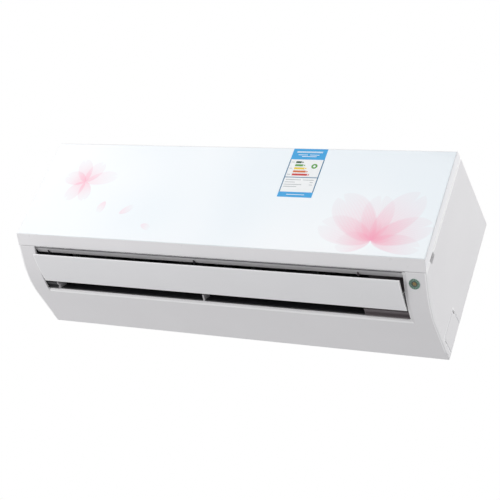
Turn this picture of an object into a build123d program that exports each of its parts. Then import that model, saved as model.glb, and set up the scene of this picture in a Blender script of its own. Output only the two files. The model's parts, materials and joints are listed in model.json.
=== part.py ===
from build123d import *
import os
from math import acos, atan2, cos, degrees, hypot, radians, sin, tan

# Indoor unit of a split air conditioner, hung on a wall.  Millimetres.
# X runs along the unit (right end +X, seen from the room), Y points into the wall and
# is 0 on the wall, Z is up.  While modelling, Z is 0 at the lowest point of the casing;
# save() moves everything so that the origin is the middle of the wall-screw pattern.

# ---- overall casing -------------------------------------------------------------
WIDTH = 800.0            # casing, end to end
HEIGHT = 276.5           # casing, bottom to top
DEPTH = 206.7            # wall to the front of the panel
HALF = WIDTH / 2
PANEL_DEPTH = 20.5       # front panel and the gap behind it
FRONT_Y = PANEL_DEPTH - DEPTH      # front wall of the casing
WALL = 2.5               # moulded wall of the casing
EDGE = 1.2               # bevel of the casing's side edges
TOP_R = 4.0              # rounding of the casing's top front corner
SEAM_Z = 47.8            # lower front edge of the casing, where the panel ends
UNDER_DEG = 31.0         # slope of the outlet side under the panel
FLOOR_DEG = 5.0          # slope of the underside towards the wall
FLOOR_Z = 1.0            # underside at the wall
KNEE_R = 175.0           # soft bend between the two slopes
GAP = 0.3                # seat clearance between neighbouring pieces
SPARE = 20.0             # how far cutting shapes run past a surface

# ---- outlet ---------------------------------------------------------------------
OPEN_LEFT = 36.0 - HALF
OPEN_RIGHT = HALF - 40.0
OPEN_REAR = FRONT_Y + 84.2    # y of the lower lip
OPEN_R = 3.0             # corner rounding of the outlet opening
LEDGE_Z = 48.5           # underside of the ledge that the closed louver's front edge meets
LEDGE_BACK = FRONT_Y + 16.7   # y where that ledge ends
LEDGE = 1.3              # its thickness
LIP_BEVEL = 2.2          # bevel along the opening's lower lip
DUCT_LEFT = 63.0 - HALF      # inner faces of the air duct's side walls
DUCT_RIGHT = HALF - 121.0
DUCT_WALL = 2.5
MID_RIB_X = (DUCT_LEFT + DUCT_RIGHT) / 2 + 2.0      # rib that holds the middle louver pivot
MID_RIB = 3.0
TONGUE_DEG = 220.0       # where the duct's upper wall starts, round the fan
TONGUE_GAP = 6.0

# ---- fan ------------------------------------------------------------------------
FAN_Y = FRONT_Y + 98.2
FAN_Z = 128.0
FAN_R = 46.0
FAN_LEFT = DUCT_LEFT + 7.0
FAN_RIGHT = DUCT_RIGHT - 7.0
FAN_SEGMENTS = 3
FAN_BLADES = 16
FAN_RING = 2.0           # thickness of each ring
FAN_RING_WIDTH = 13.0    # radial width of each ring
BLADE_THICK = 1.3
SCROLL_GAP = 8.0
SCROLL_TOP_DEG = 42.0
STUB_R = 3.0             # left shaft end
SHAFT_R = 4.0            # motor shaft
RUN_FIT = 0.05           # radial running clearance of shafts and pins
PRESS_FIT = 0.02         # radial clearance of parts that are glued, brazed or pressed

# ---- louver ---------------------------------------------------------------------
PIVOT_Y = FRONT_Y + 48.2
PIVOT_Z = 38.0
PIN_R = 2.5
LOUVER_FRONT = (FRONT_Y + 2.8, 33.4)
LOUVER_REAR = (FRONT_Y + 65.4, 17.2)
LOUVER_BOW = 2.0         # how far the blade bulges outwards
LOUVER_THICK = 3.2
LOUVER_END_GAP = 2.5
SWEEP_R = 32.0           # room kept free round the pivot for the blade's rear edge
COVE_LOW = -40.0         # the end pockets' rounded back, as angles round the pivot
COVE_HIGH = 128.0

# ---- vertical vanes -------------------------------------------------------------
VANES = 5                # in each half of the duct
VANE_PITCH = (DUCT_RIGHT - DUCT_LEFT - 16.0) / (2 * VANES)
VANE_THICK = 1.6
VANE_HEIGHT = 46.0
VANE_AHEAD = 16.0        # from the pivot axis towards the fan
VANE_BEHIND = 15.0       # from the pivot axis towards the room
VANE_WALL_RUN = 12.0     # pivot's distance from the duct tongue, along the upper wall
VANE_HUB_R = 2.5
TIE_AT = -10.0           # tie-bar pin, from the pivot axis (minus is towards the fan)
TIE_PIN_R = 1.4
TIE_CLEAR = 0.15
TIE_THICK = 2.0
TIE_WIDTH = 6.0

# ---- heat exchanger -------------------------------------------------------------
COIL_LEFT = DUCT_LEFT - 13.0
COIL_RIGHT = DUCT_RIGHT + 6.0
COIL_THICK = 26.0
COIL_FRONT = ((FRONT_Y + 28.2, 92.0), (FRONT_Y + 28.2, HEIGHT - 110.5))
COIL_TOP = ((FRONT_Y + 34.2, HEIGHT - 105.5), (FRONT_Y + 82.2, HEIGHT - 35.5))
COIL_REAR = ((FRONT_Y + 99.7, HEIGHT - 45.0), (FRONT_Y + 142.2, 184.0))
FIN_GROOVE = 2.0
FIN_GROOVE_DEPTH = 3.0
FIN_GROOVE_PITCH = 42.33
TUBE_R = 3.5
TUBE_PITCH = 21.0
END_PLATE = 1.2

# ---- panel ----------------------------------------------------------------------
HINGE_Y = FRONT_Y + 4.2
HINGE_Z = HEIGHT - 5.0
HINGE_R = 1.8
HINGE_RUN = 0.08
PANEL_TOP = HEIGHT - 1.5
PANEL_GAP = 1.0          # between the panel's back edge and the casing
PANEL_SIDE = 0.5         # how far the panel stops short of the casing's ends
PANEL_WALL = 2.5
GLASS = 3.0
GLASS_BEVEL = 1.0
STRIP_Z = 60.7           # where the face turns into the lower strip

# ---- wall plate and back --------------------------------------------------------
PATTERN_Z = HEIGHT - 116.5   # middle of the wall-screw pattern above the casing's bottom
SCREW_PITCH_X = 450.0
SCREW_PITCH_Z = 120.0
SCREW_HOLE_R = 2.75
PLATE_T = 1.2
PLATE_HALF = 270.0
BACK_Y = -10.0           # back wall of the chassis, side facing the wall
CHASSIS_WALL = 2.5
SHELF_Z = 75.5           # ceiling of the pipe trough
HOOK_X = (-210.0, -70.0, 70.0, 210.0)
HOOK_W = 26.0
HOOK_Z = HEIGHT - 28.5

# ---- pieces on the right ---------------------------------------------------------
LENS_X = HALF - 22.0
LENS_Y = FRONT_Y + 16.5
LENS_R = 9.5
BUTTON_X = HALF - 55.0
BUTTON_Z = HEIGHT - 124.5
BUTTON_R = 4.0
BOX_LEFT = HALF - 88.0
BOX_RIGHT = HALF - 10.0
BOX_BOTTOM = 84.0
BOX_TOP = HEIGHT - 26.5
BOX_BACK = FRONT_Y + 50.2
BOX_WALL = 2.0
BOARD_Y = FRONT_Y + 41.9   # back face of the control board
BOARD_THICK = 1.6
MOTOR_LEFT = DUCT_RIGHT + 14.0
MOTOR_RIGHT = MOTOR_LEFT + 56.0
MOTOR_R = 41.0
NOSE_R = 9.0
MOUNT_RING_R = 16.0

# ---- pipes -----------------------------------------------------------------------
GAS_R = 4.76
LIQUID_R = 3.18
GAS_LOW = (-51.0, 38.0)       # y and z of the run in the trough
LIQUID_LOW = (-30.0, 24.0)
PIPE_END_X = -60.0
CLAMP_X = 206.0

INNER_Y = FRONT_Y + WALL
SCROLL_R = FAN_R + SCROLL_GAP
FAN = (FAN_Y, FAN_Z)
PIVOT = (PIVOT_Y, PIVOT_Z)
UNDER = tan(radians(UNDER_DEG))
FLOOR = tan(radians(FLOOR_DEG))
OUT_NORMAL = Vector(0, -sin(radians(UNDER_DEG)), -cos(radians(UNDER_DEG)))


# ---- helpers ---------------------------------------------------------------------
def box(x0, x1, y0, y1, z0, z1):
    """Block between the given limits."""
    middle = Pos((x0 + x1) / 2, (y0 + y1) / 2, (z0 + z1) / 2)
    return middle * Box(x1 - x0, y1 - y0, z1 - z0)


def prism(sketch, x0, x1):
    """Solid between x0 and x1 from a sketch drawn with Y across and Z up."""
    return extrude(Plane.YZ.offset(x0) * sketch, amount=x1 - x0, dir=(1, 0, 0))


def outline(*points):
    """Straight-sided face from (y, z) points."""
    return Polygon(*points, align=None)


def disc(centre, radius):
    return Pos(centre[0], centre[1]) * Circle(radius)


def rod_x(x0, x1, centre, radius):
    """Round bar along X."""
    return prism(disc(centre, radius), x0, x1)


def rod(start, direction, length, radius):
    """Round bar from a point along a direction."""
    return extrude(Plane(origin=start, z_dir=direction) * Circle(radius), amount=length)


def bar(start, direction, length, radius, sides=8):
    """Flat-sided bar from a point along a direction, for hidden or rough pieces."""
    return extrude(Plane(origin=start, z_dir=direction) * RegularPolygon(radius, sides), amount=length)


def bar_x(x0, x1, centre, radius, sides=12):
    """Flat-sided bar along X."""
    return prism(Pos(*centre) * RegularPolygon(radius, sides), x0, x1)


def bore(start, direction, length, radius, sides=12):
    """Flat-sided cutter whose flats lie on the given radius, so a round pin of it fits."""
    sketch = RegularPolygon(radius, sides, major_radius=False)
    return extrude(Plane(origin=start, z_dir=direction) * sketch, amount=length)


def bore_x(x0, x1, centre, radius, sides=12):
    return bore((x0, *centre), (1, 0, 0), x1 - x0, radius, sides)


def sleeve_x(x0, x1, centre, outer, inner, sides=12):
    """Flat-sided sleeve along X; inner and outer are the corner radii."""
    ring = RegularPolygon(outer, sides) - RegularPolygon(inner, sides)
    return prism(Pos(*centre) * ring, x0, x1)


def fuse(first, *others):
    """One solid from pieces that touch or overlap."""
    return first.fuse(*others)


def unit(p, q):
    """Unit vector from p to q in the YZ plane."""
    length = hypot(q[0] - p[0], q[1] - p[1])
    return (q[0] - p[0]) / length, (q[1] - p[1]) / length


def along(p, direction, distance):
    return p[0] + direction[0] * distance, p[1] + direction[1] * distance


def save(name, shape):
    export_step(Pos(0, 0, -PATTERN_Z) * shape, f"parts/{name}.step")


# ---- outlines shared by several pieces --------------------------------------------
def under_z(y):
    """Height of the sloping outlet side of the casing at a depth y."""
    return SEAM_Z - (y - FRONT_Y) * UNDER


def floor_z(y):
    """Height of the casing's underside near the wall at a depth y."""
    return FLOOR_Z - y * FLOOR


def casing_face(inset):
    """Side outline of the casing, moved in by inset and run out behind the wall."""
    knee_y = (SEAM_Z + FRONT_Y * UNDER - FLOOR_Z) / (UNDER - FLOOR)
    knee = (knee_y, floor_z(knee_y))
    top = (FRONT_Y, HEIGHT)
    face = outline((SPARE, floor_z(SPARE)), knee, (FRONT_Y, SEAM_Z), top, (SPARE, HEIGHT))
    face = fillet(face.vertices().sort_by_distance((*knee, 0))[0], KNEE_R)
    face = fillet(face.vertices().sort_by_distance((*top, 0))[0], TOP_R)
    if inset:
        face = offset(face, amount=-inset)
    return face


def tongue():
    """Start of the duct's upper wall, close to the fan."""
    turn = radians(TONGUE_DEG)
    reach = FAN_R + TONGUE_GAP
    return FAN_Y + reach * cos(turn), FAN_Z + reach * sin(turn)


def duct_front():
    """End of the duct's upper wall, behind the seam."""
    return INNER_Y + GAP + DUCT_WALL * 0.65, SEAM_Z + 2.6


def floor_at(y):
    """Height of the casing's outer face where the bend between the two slopes is."""
    knee_y = (SEAM_Z + FRONT_Y * UNDER - FLOOR_Z) / (UNDER - FLOOR)
    half = radians((UNDER_DEG - FLOOR_DEG) / 2)
    reach = KNEE_R * tan(half)
    start = (knee_y - reach * cos(radians(UNDER_DEG)), floor_z(knee_y) + reach * sin(radians(UNDER_DEG)))
    centre_y = start[0] + KNEE_R * sin(radians(UNDER_DEG))
    centre_z = start[1] + KNEE_R * cos(radians(UNDER_DEG))
    return centre_z - (KNEE_R ** 2 - (y - centre_y) ** 2) ** 0.5


def lip():
    """Lower end of the scroll, just above the casing's lower lip."""
    return OPEN_REAR - 1.0, 14.6


def scroll_touch():
    """Point where the straight run of the scroll leaves its arc."""
    end = lip()
    reach = hypot(end[0] - FAN_Y, end[1] - FAN_Z)
    turn = atan2(end[1] - FAN_Z, end[0] - FAN_Y) + acos(SCROLL_R / reach)
    return FAN_Y + SCROLL_R * cos(turn), FAN_Z + SCROLL_R * sin(turn), degrees(turn)


def flow_frame():
    """Pivot point, flow direction and vane direction of the vertical vanes."""
    touch_y, touch_z, _ = scroll_touch()
    upper = unit(tongue(), duct_front())
    lower = unit((touch_y, touch_z), lip())
    flow = unit((0, 0), (upper[0] + lower[0], upper[1] + lower[1]))
    across = (-flow[1], flow[0])
    return along(tongue(), upper, VANE_WALL_RUN), flow, across


def vane_point(height, chord):
    """(y, z) of a point on a vane: height from the duct's wall, chord along the flow."""
    pivot, flow, across = flow_frame()
    return along(along(pivot, across, height), flow, chord)


def scroll_face(thick):
    """Scroll wall: an arc round the fan, then straight down to the lip."""
    touch_y, touch_z, touch_deg = scroll_touch()
    end = lip()
    down = unit((touch_y, touch_z), end)
    away = (-down[1], down[0])
    if away[0] < 0:
        away = (down[1], -down[0])
    turn = SCROLL_TOP_DEG - touch_deg
    inner = CenterArc((FAN_Y, FAN_Z), SCROLL_R, touch_deg, turn)
    outer = CenterArc((FAN_Y, FAN_Z), SCROLL_R + thick, touch_deg, turn)
    end_out = along(end, away, thick)
    rim = [inner, outer, Line(inner @ 1, outer @ 1), Line(inner @ 0, end)]
    rim += [Line(outer @ 0, end_out), Line(end, end_out)]
    return make_face(rim)


def duct_face():
    """Space between the duct's walls, from the fan to just inside the outlet."""
    touch_y, touch_z, _ = scroll_touch()
    start, front, end = tongue(), duct_front(), lip()
    down = unit((touch_y, touch_z), end)
    back = along((touch_y, touch_z), down, 16.0)
    face = outline(front, start, along(start, unit(start, back), 4.0), back,
                   along(end, down, -0.6), (front[0] + 2.0, front[1] - 1.0))
    fan_room = Pos(*FAN) * RegularPolygon(FAN_R + 5.0, 20, major_radius=False)
    louver_room = Pos(*PIVOT) * RegularPolygon(SWEEP_R, 16, major_radius=False)
    return face - fan_room - louver_room


# ---- casing ----------------------------------------------------------------------
FILTER_BAYS = ((28.0 - HALF, -44.0), (-30.0, HALF - 102.0))
BAY_BOTTOM = 78.0
BAY_TOP = HEIGHT - 22.5
BAY_BAR = 4.0
GRILLE_HALF = HALF - 28.0
GRILLE_FRONT = FRONT_Y + 20.2
GRILLE_BACK = -24.0
NOTCH_Z = 80.0
NOTCH = (20.0, 18.0)
KNOCK_FRONT = -46.0
KNOCK_BOTTOM = 13.5
KNOCK_TOP = 73.0
KNOCK_GAP = 0.35
LATCH_X = HALF - 100.0
LATCH_Z = 67.5
ARM_IN = HALF - 19.0
ARM_OUT = ARM_IN + 6.0
BOSS_IN = HALF - 11.5
EAR_X = HALF - 14.0
EAR_Z = 59.0
FRAME_SCREW_R = 2.0


def bay_cells(left, right, across, down):
    """Openings of one guarded filter bay: (x0, x1, z0, z1) of each cell."""
    step_x = (right - left + BAY_BAR) / across
    step_z = (BAY_TOP - BAY_BOTTOM + BAY_BAR) / down
    for i in range(across):
        for j in range(down):
            x0 = left + i * step_x
            z0 = BAY_BOTTOM + j * step_z
            yield x0, x0 + step_x - BAY_BAR, z0, z0 + step_z - BAY_BAR


def knock_face(inset):
    """Outline of the pipe knock-out in a casing side."""
    height = KNOCK_TOP - KNOCK_BOTTOM
    face = outline((KNOCK_FRONT, KNOCK_BOTTOM), (KNOCK_FRONT, KNOCK_TOP),
                   (0, KNOCK_TOP), (0, KNOCK_BOTTOM))
    face = chamfer(face.vertices().group_by(Axis.X)[0], height * 0.14)
    if inset:
        inner = offset(face, amount=-inset)
        face = inner & (Pos(-HALF - inset, 0) * Rectangle(WIDTH, WIDTH))
    return face


def notch_face():
    """Finger notch at the front edge of a casing side."""
    return Pos(FRONT_Y, NOTCH_Z) * chamfer(Rectangle(*NOTCH).vertices(), 3.0)


def lip_bevel_face():
    """Wedge cut from the lower lip of the outlet, so that its edge faces forwards."""
    tip = floor_at(OPEN_REAR)
    return outline((OPEN_REAR - 1, tip - 2), (OPEN_REAR - 1, tip + LIP_BEVEL + 1.1),
                   (OPEN_REAR, tip + LIP_BEVEL), (OPEN_REAR + 0.8 * LIP_BEVEL, tip - 0.4),
                   (OPEN_REAR + LIP_BEVEL + 1.2, tip - 2))


def front_frame():
    """Outer casing: sides, top rim, front wall behind the panel, outlet side, underside."""
    skin = prism(casing_face(0), -HALF, HALF)
    ends = [e for e in skin.edges() if abs(abs(e.center().X) - HALF) < 0.01]
    ends = [e for e in ends if e.center().Y < SPARE - 0.01]
    skin = chamfer(ends, EDGE)
    shell = skin - prism(casing_face(WALL), -HALF + WALL, HALF - WALL)
    shell -= box(-HALF - 1, HALF + 1, 0, SPARE + 1, -SPARE, HEIGHT + SPARE)

    cuts = [box(-GRILLE_HALF, GRILLE_HALF, GRILLE_FRONT, GRILLE_BACK, HEIGHT - SPARE / 2, HEIGHT + 1)]
    for left, right in FILTER_BAYS:
        for x0, x1, z0, z1 in bay_cells(left, right, 4, 3):
            cuts.append(box(x0, x1, FRONT_Y - 1, INNER_Y + 1, z0, z1))
    middle_x = (OPEN_LEFT + OPEN_RIGHT) / 2
    middle_y = (INNER_Y + OPEN_REAR) / 2
    hole = RectangleRounded(OPEN_RIGHT - OPEN_LEFT, OPEN_REAR - INNER_Y, OPEN_R)
    cuts.append(extrude(Pos(middle_x, middle_y, -SPARE) * hole, amount=SPARE + 60))
    cuts.append(box(OPEN_LEFT, OPEN_RIGHT, FRONT_Y - 1, INNER_Y + 0.01, SEAM_Z - SPARE, LEDGE_Z))
    cuts.append(prism(lip_bevel_face(), OPEN_LEFT + OPEN_R, OPEN_RIGHT - OPEN_R))
    centre = Vector(LENS_X, LENS_Y, under_z(LENS_Y))
    cuts.append(bore(centre - OUT_NORMAL * 10, OUT_NORMAL, 20, LENS_R - 1.7))
    button_start = (BUTTON_X, FRONT_Y - 1, BUTTON_Z)
    cuts.append(bore(button_start, (0, 1, 0), SPARE / 2, BUTTON_R + 0.2, 16))
    bosses = []
    for side in (-1, 1):
        cuts.append(box(*sorted((side * (ARM_IN - 1.5), side * (ARM_OUT + 1.3))),
                        FRONT_Y - 1, HINGE_Y + 6, HINGE_Z - 9, HEIGHT + 1))
        latch = side * LATCH_X
        cuts.append(box(latch - 8, latch + 8, FRONT_Y - 1, INNER_Y + 1, LATCH_Z - 3.5, LATCH_Z + 3.5))
        ear = (side * EAR_X, FRONT_Y - 1, EAR_Z)
        cuts.append(bore(ear, (0, 1, 0), SPARE / 4, FRAME_SCREW_R + 0.3, 8))
        inside, outside = sorted((side * (HALF - 8), side * (HALF + 1)))
        cuts.append(prism(notch_face(), inside, outside))
        cuts.append(prism(knock_face(0), *sorted((side * (HALF - WALL - 1), side * (HALF + 1)))))
        pocket = box(*sorted((side * (HALF - 9.5), side * (HALF - 1))),
                     INNER_Y - 1, FRONT_Y + NOTCH[0] / 2 + 1.5,
                     NOTCH_Z - NOTCH[1] / 2 - 1.5, NOTCH_Z + NOTCH[1] / 2 + 1.5)
        bosses.append(pocket)
        barrel = bar_x(*sorted((side * BOSS_IN, side * (HALF - 1))), (HINGE_Y, HINGE_Z), 5.0)
        bosses.append(barrel & skin)
        cuts.append(bore_x(*sorted((side * (BOSS_IN - 1), side * (HALF - WALL - 0.5))),
                           (HINGE_Y, HINGE_Z), HINGE_R + HINGE_RUN))
    ledge = box(OPEN_LEFT - 1, OPEN_RIGHT + 1, INNER_Y - 1, LEDGE_BACK, LEDGE_Z, LEDGE_Z + LEDGE)
    return fuse(fuse(shell, *bosses) - cuts, ledge)


def top_grille():
    """Air intake grille that snaps into the casing's top."""
    top = HEIGHT - 0.2
    half = GRILLE_HALF - GAP
    front, back = GRILLE_FRONT + GAP, GRILLE_BACK - GAP
    plate = box(-half, half, front, back, HEIGHT - WALL, top)
    rim = box(-half - 4, half + 4, front - 4, back + 4, HEIGHT - WALL - 1.7, HEIGHT - WALL - 0.2)
    rim -= box(-half + 3, half - 3, front + 3, back - 3, HEIGHT - WALL - 3, HEIGHT)
    neck = box(-half, half, front, back, HEIGHT - WALL - 0.2, HEIGHT - WALL)
    neck -= box(-half + 3, half - 3, front + 3, back - 3, HEIGHT - WALL - 1, HEIGHT)
    rows, columns = 2, 14
    pitch_x, pitch_y = 52.0, 68.0
    slot = Rectangle(44.0, 60.0)
    centre = Pos(0, (front + back) / 2, HEIGHT - SPARE / 2)
    slots = [extrude(centre * place * slot, amount=SPARE)
             for place in GridLocations(pitch_x, pitch_y, columns, rows)]
    return fuse(plate, neck, rim) - slots


def pipe_knockout(side):
    """Break-out cover of the pipe opening in a casing side."""
    return prism(knock_face(KNOCK_GAP), *sorted((side * (HALF - WALL), side * (HALF - 0.1))))


# ---- front panel ------------------------------------------------------------------
def panel_face(inset):
    """Side outline of the front panel's carrier."""
    front = -DEPTH
    back = FRONT_Y - PANEL_GAP
    strip_drop = (back - front) * tan(radians(UNDER_DEG + 1.0))
    cut = 2.5
    face = outline((front, STRIP_Z), (front, PANEL_TOP - cut), (front + cut, PANEL_TOP),
                   (back, PANEL_TOP), (back, STRIP_Z - strip_drop))
    if inset:
        face = offset(face, amount=-inset)
    return face


def front_panel():
    """Carrier of the front panel, with the lower strip, hinge arms and latches."""
    half = HALF - PANEL_SIDE
    face_y = -DEPTH + GLASS + GAP
    back = FRONT_Y - PANEL_GAP
    body = prism(panel_face(0), -half, half)
    body -= prism(panel_face(PANEL_WALL), -half + PANEL_WALL, half - PANEL_WALL) & box(
        -HALF, HALF, face_y + PANEL_WALL, back + 1, 0, HEIGHT)
    body -= box(-HALF, HALF, -DEPTH - 1, face_y, STRIP_Z + 0.4, HEIGHT)
    mouth = back - PANEL_WALL - 1
    opening = outline((mouth, STRIP_Z - 2), (mouth, PANEL_TOP - PANEL_WALL),
                      (back + 1, PANEL_TOP - PANEL_WALL), (back + 1, STRIP_Z - 8.5))
    body -= prism(opening, -half + PANEL_WALL, half - PANEL_WALL)
    extras = []
    rib_back = face_y + PANEL_WALL + 9.0
    for i in range(-2, 3):
        x = i * 150.0
        extras.append(box(x - 1, x + 1, face_y + 1, rib_back, STRIP_Z + 2, PANEL_TOP - 1))
    for z in (125.0, 205.0):
        extras.append(box(-half + 1, half - 1, face_y + 1, rib_back - 3, z - 1, z + 1))
    for side in (-1, 1):
        arm = outline((face_y + 1, HINGE_Z - 14), (face_y + 1, PANEL_TOP - 1), (HINGE_Y, PANEL_TOP - 0.4),
                      (HINGE_Y + 2.4, HINGE_Z), (HINGE_Y, HINGE_Z - 3.0), (back, HINGE_Z - 6))
        extras.append(prism(arm, *sorted((side * ARM_IN, side * ARM_OUT))))
        pin = sorted((side * (ARM_OUT - 1), side * (HALF - WALL - 1.2)))
        extras.append(bar_x(*pin, (HINGE_Y, HINGE_Z), HINGE_R))
        latch = side * LATCH_X
        tab = box(latch - 6, latch + 6, face_y + 1, INNER_Y + 2, LATCH_Z - 1.2, LATCH_Z + 1.2)
        extras.append(tab)
    return fuse(body, *extras)


def panel_glass():
    """Toughened glass face with a polished bevel."""
    pane = box(-HALF + 1.5, HALF - 1.5, -DEPTH, -DEPTH + GLASS, STRIP_Z + 1.0, PANEL_TOP - 2.7)
    front = pane.faces().sort_by(Axis.Y)[0]
    return chamfer(front.edges(), GLASS_BEVEL)


# ---- louver -----------------------------------------------------------------------
def blade_edge(shift):
    """Bowed line of the louver blade, moved outwards by shift."""
    run = unit(LOUVER_FRONT, LOUVER_REAR)
    out = (run[1], -run[0])
    if out[1] > 0:
        out = (-out[0], -out[1])
    front = along(LOUVER_FRONT, out, shift)
    rear = along(LOUVER_REAR, out, shift)
    middle = ((front[0] + rear[0]) / 2, (front[1] + rear[1]) / 2)
    return front, along(middle, out, LOUVER_BOW), rear


def blade_face():
    """Cross-section of the louver blade."""
    outer = blade_edge(LOUVER_THICK / 2)
    inner = blade_edge(-LOUVER_THICK / 2)
    rim = [ThreePointArc(*outer), ThreePointArc(*inner)]
    rim += [Line(outer[0], inner[0]), Line(outer[2], inner[2])]
    face = make_face(rim)
    return fillet(face.vertices(), LOUVER_THICK * 0.4)


def ear_face():
    """Louver ear from the blade up to its round head at the pivot."""
    _, base, _ = blade_edge(-LOUVER_THICK / 4)
    rim = [(PIVOT_Y + 4.8 * cos(radians(turn)), PIVOT_Z + 4.8 * sin(radians(turn)))
           for turn in (-15, 15, 45, 75, 105, 135, 165, 195)]
    return outline((PIVOT_Y + 8, base[1] - 3.2), *rim, (base[0] - 2, base[1] + 0.4))


def main_louver():
    """Full-width louver: bowed blade, ears and pivot pins."""
    left = OPEN_LEFT + LOUVER_END_GAP
    right = OPEN_RIGHT - LOUVER_END_GAP
    blade = prism(blade_face(), left, right)
    ears = [(left + 3, left + 6), (right - 6, right - 3)]
    ear_right = MID_RIB_X + MID_RIB / 2 + 0.8
    ears.append((ear_right, ear_right + 3))
    pieces = [prism(ear_face(), x0, x1) for x0, x1 in ears]
    pieces.append(bar_x(OPEN_LEFT - 2.4, left + 4, PIVOT, PIN_R, 16))
    pieces.append(bar_x(right - 4, OPEN_RIGHT + 6.0, PIVOT, PIN_R, 16))
    pieces.append(bar_x(MID_RIB_X - MID_RIB / 2, ear_right + 1, PIVOT, PIN_R, 16))
    rib = []
    for shift in (0.3, 0.7):
        y = LOUVER_FRONT[0] + (LOUVER_REAR[0] - LOUVER_FRONT[0]) * shift
        z = LOUVER_FRONT[1] + (LOUVER_REAR[1] - LOUVER_FRONT[1]) * shift
        rib.append(box(left + 8, MID_RIB_X - 4, y - 0.8, y + 0.8, z - 1.5, z + 2.2))
        rib.append(box(MID_RIB_X + 8, right - 8, y - 0.8, y + 0.8, z - 1.5, z + 2.2))
    return fuse(blade, *pieces, *rib)


def louver_motor():
    """Small geared motor that turns the louver, on the outside of the duct's end wall."""
    start = OPEN_RIGHT + DUCT_WALL + 0.5
    body = bar_x(start, start + 15.0, PIVOT, 12.0, 16)
    back = bar_x(start + 15.0, start + 18.0, PIVOT, 9.0)
    ears = box(start, start + 1.5, PIVOT_Y - 17.5, PIVOT_Y + 17.5, PIVOT_Z - 3.5, PIVOT_Z + 3.5)
    plug = box(start + 3, start + 13, PIVOT_Y - 7, PIVOT_Y + 7, PIVOT_Z + 8, PIVOT_Z + 16)
    socket = bore_x(start - 1, OPEN_RIGHT + 6.8, PIVOT, PIN_R + RUN_FIT)
    return fuse(body, back, ears, plug) - socket


# ---- duct with vane seats ----------------------------------------------------------
def vane_x(index, half):
    """Position of a vane; half is 0 left of the middle rib and 1 right of it."""
    sides = ((DUCT_LEFT, MID_RIB_X - MID_RIB / 2), (MID_RIB_X + MID_RIB / 2, DUCT_RIGHT))
    middle = sum(sides[half]) / 2
    return middle + (index - (VANES - 1) / 2) * VANE_PITCH


def vane_plane(x):
    """Plane on the vane's pivot point, with Z along the pivot axis into the duct."""
    pivot, _, across = flow_frame()
    return Plane(origin=(x, *pivot), x_dir=(1, 0, 0), z_dir=(0, *across))


def cove_face():
    """Section of the rounded pocket in which the louver's rear edge swings."""
    inner = CenterArc(PIVOT, SWEEP_R, COVE_LOW, COVE_HIGH - COVE_LOW)
    outer = CenterArc(PIVOT, SWEEP_R + DUCT_WALL, COVE_LOW, COVE_HIGH - COVE_LOW)
    return make_face([inner, outer, Line(inner @ 0, outer @ 0), Line(inner @ 1, outer @ 1)])


def cove_point(turn, inset):
    """Point on the pocket's outer skin, or inset below it."""
    reach = SWEEP_R + DUCT_WALL - inset
    return PIVOT_Y + reach * cos(radians(turn)), PIVOT_Z + reach * sin(radians(turn))


def end_wall_face():
    """Wall that closes the outlet at its end, round the louver's pivot."""
    front = duct_front()
    rim = [cove_point(COVE_LOW + i * (COVE_HIGH - COVE_LOW) / 8, 0.2) for i in range(9)]
    return outline((front[0] + 0.8, front[1] + 0.6), (PIVOT_Y - 4, PIVOT_Z - 7), *rim,
                   (front[0] + 0.8, front[1] + 2.9))


def end_pocket(x0, x1):
    """Pocket beside the air stream: rounded back, front plate and a strip to the lip."""
    front = duct_front()
    plate = outline(front, (front[0], front[1] + 3.0), cove_point(COVE_HIGH - 4, 0.1),
                    cove_point(COVE_HIGH - 2, DUCT_WALL - 0.2))
    back = prism(cove_face(), x0, x1)
    strip = box(x0, x1, PIVOT_Y + 22, OPEN_REAR - 2.0, 16.4, 18.9)
    inside = max(x0, OPEN_LEFT + GAP), min(x1, OPEN_RIGHT - GAP)
    drop = box(*inside, OPEN_REAR - 3.4, OPEN_REAR - 1.4, 12.2, 17.0)
    return fuse(back, prism(plate, x0, x1), strip, drop)


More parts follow.
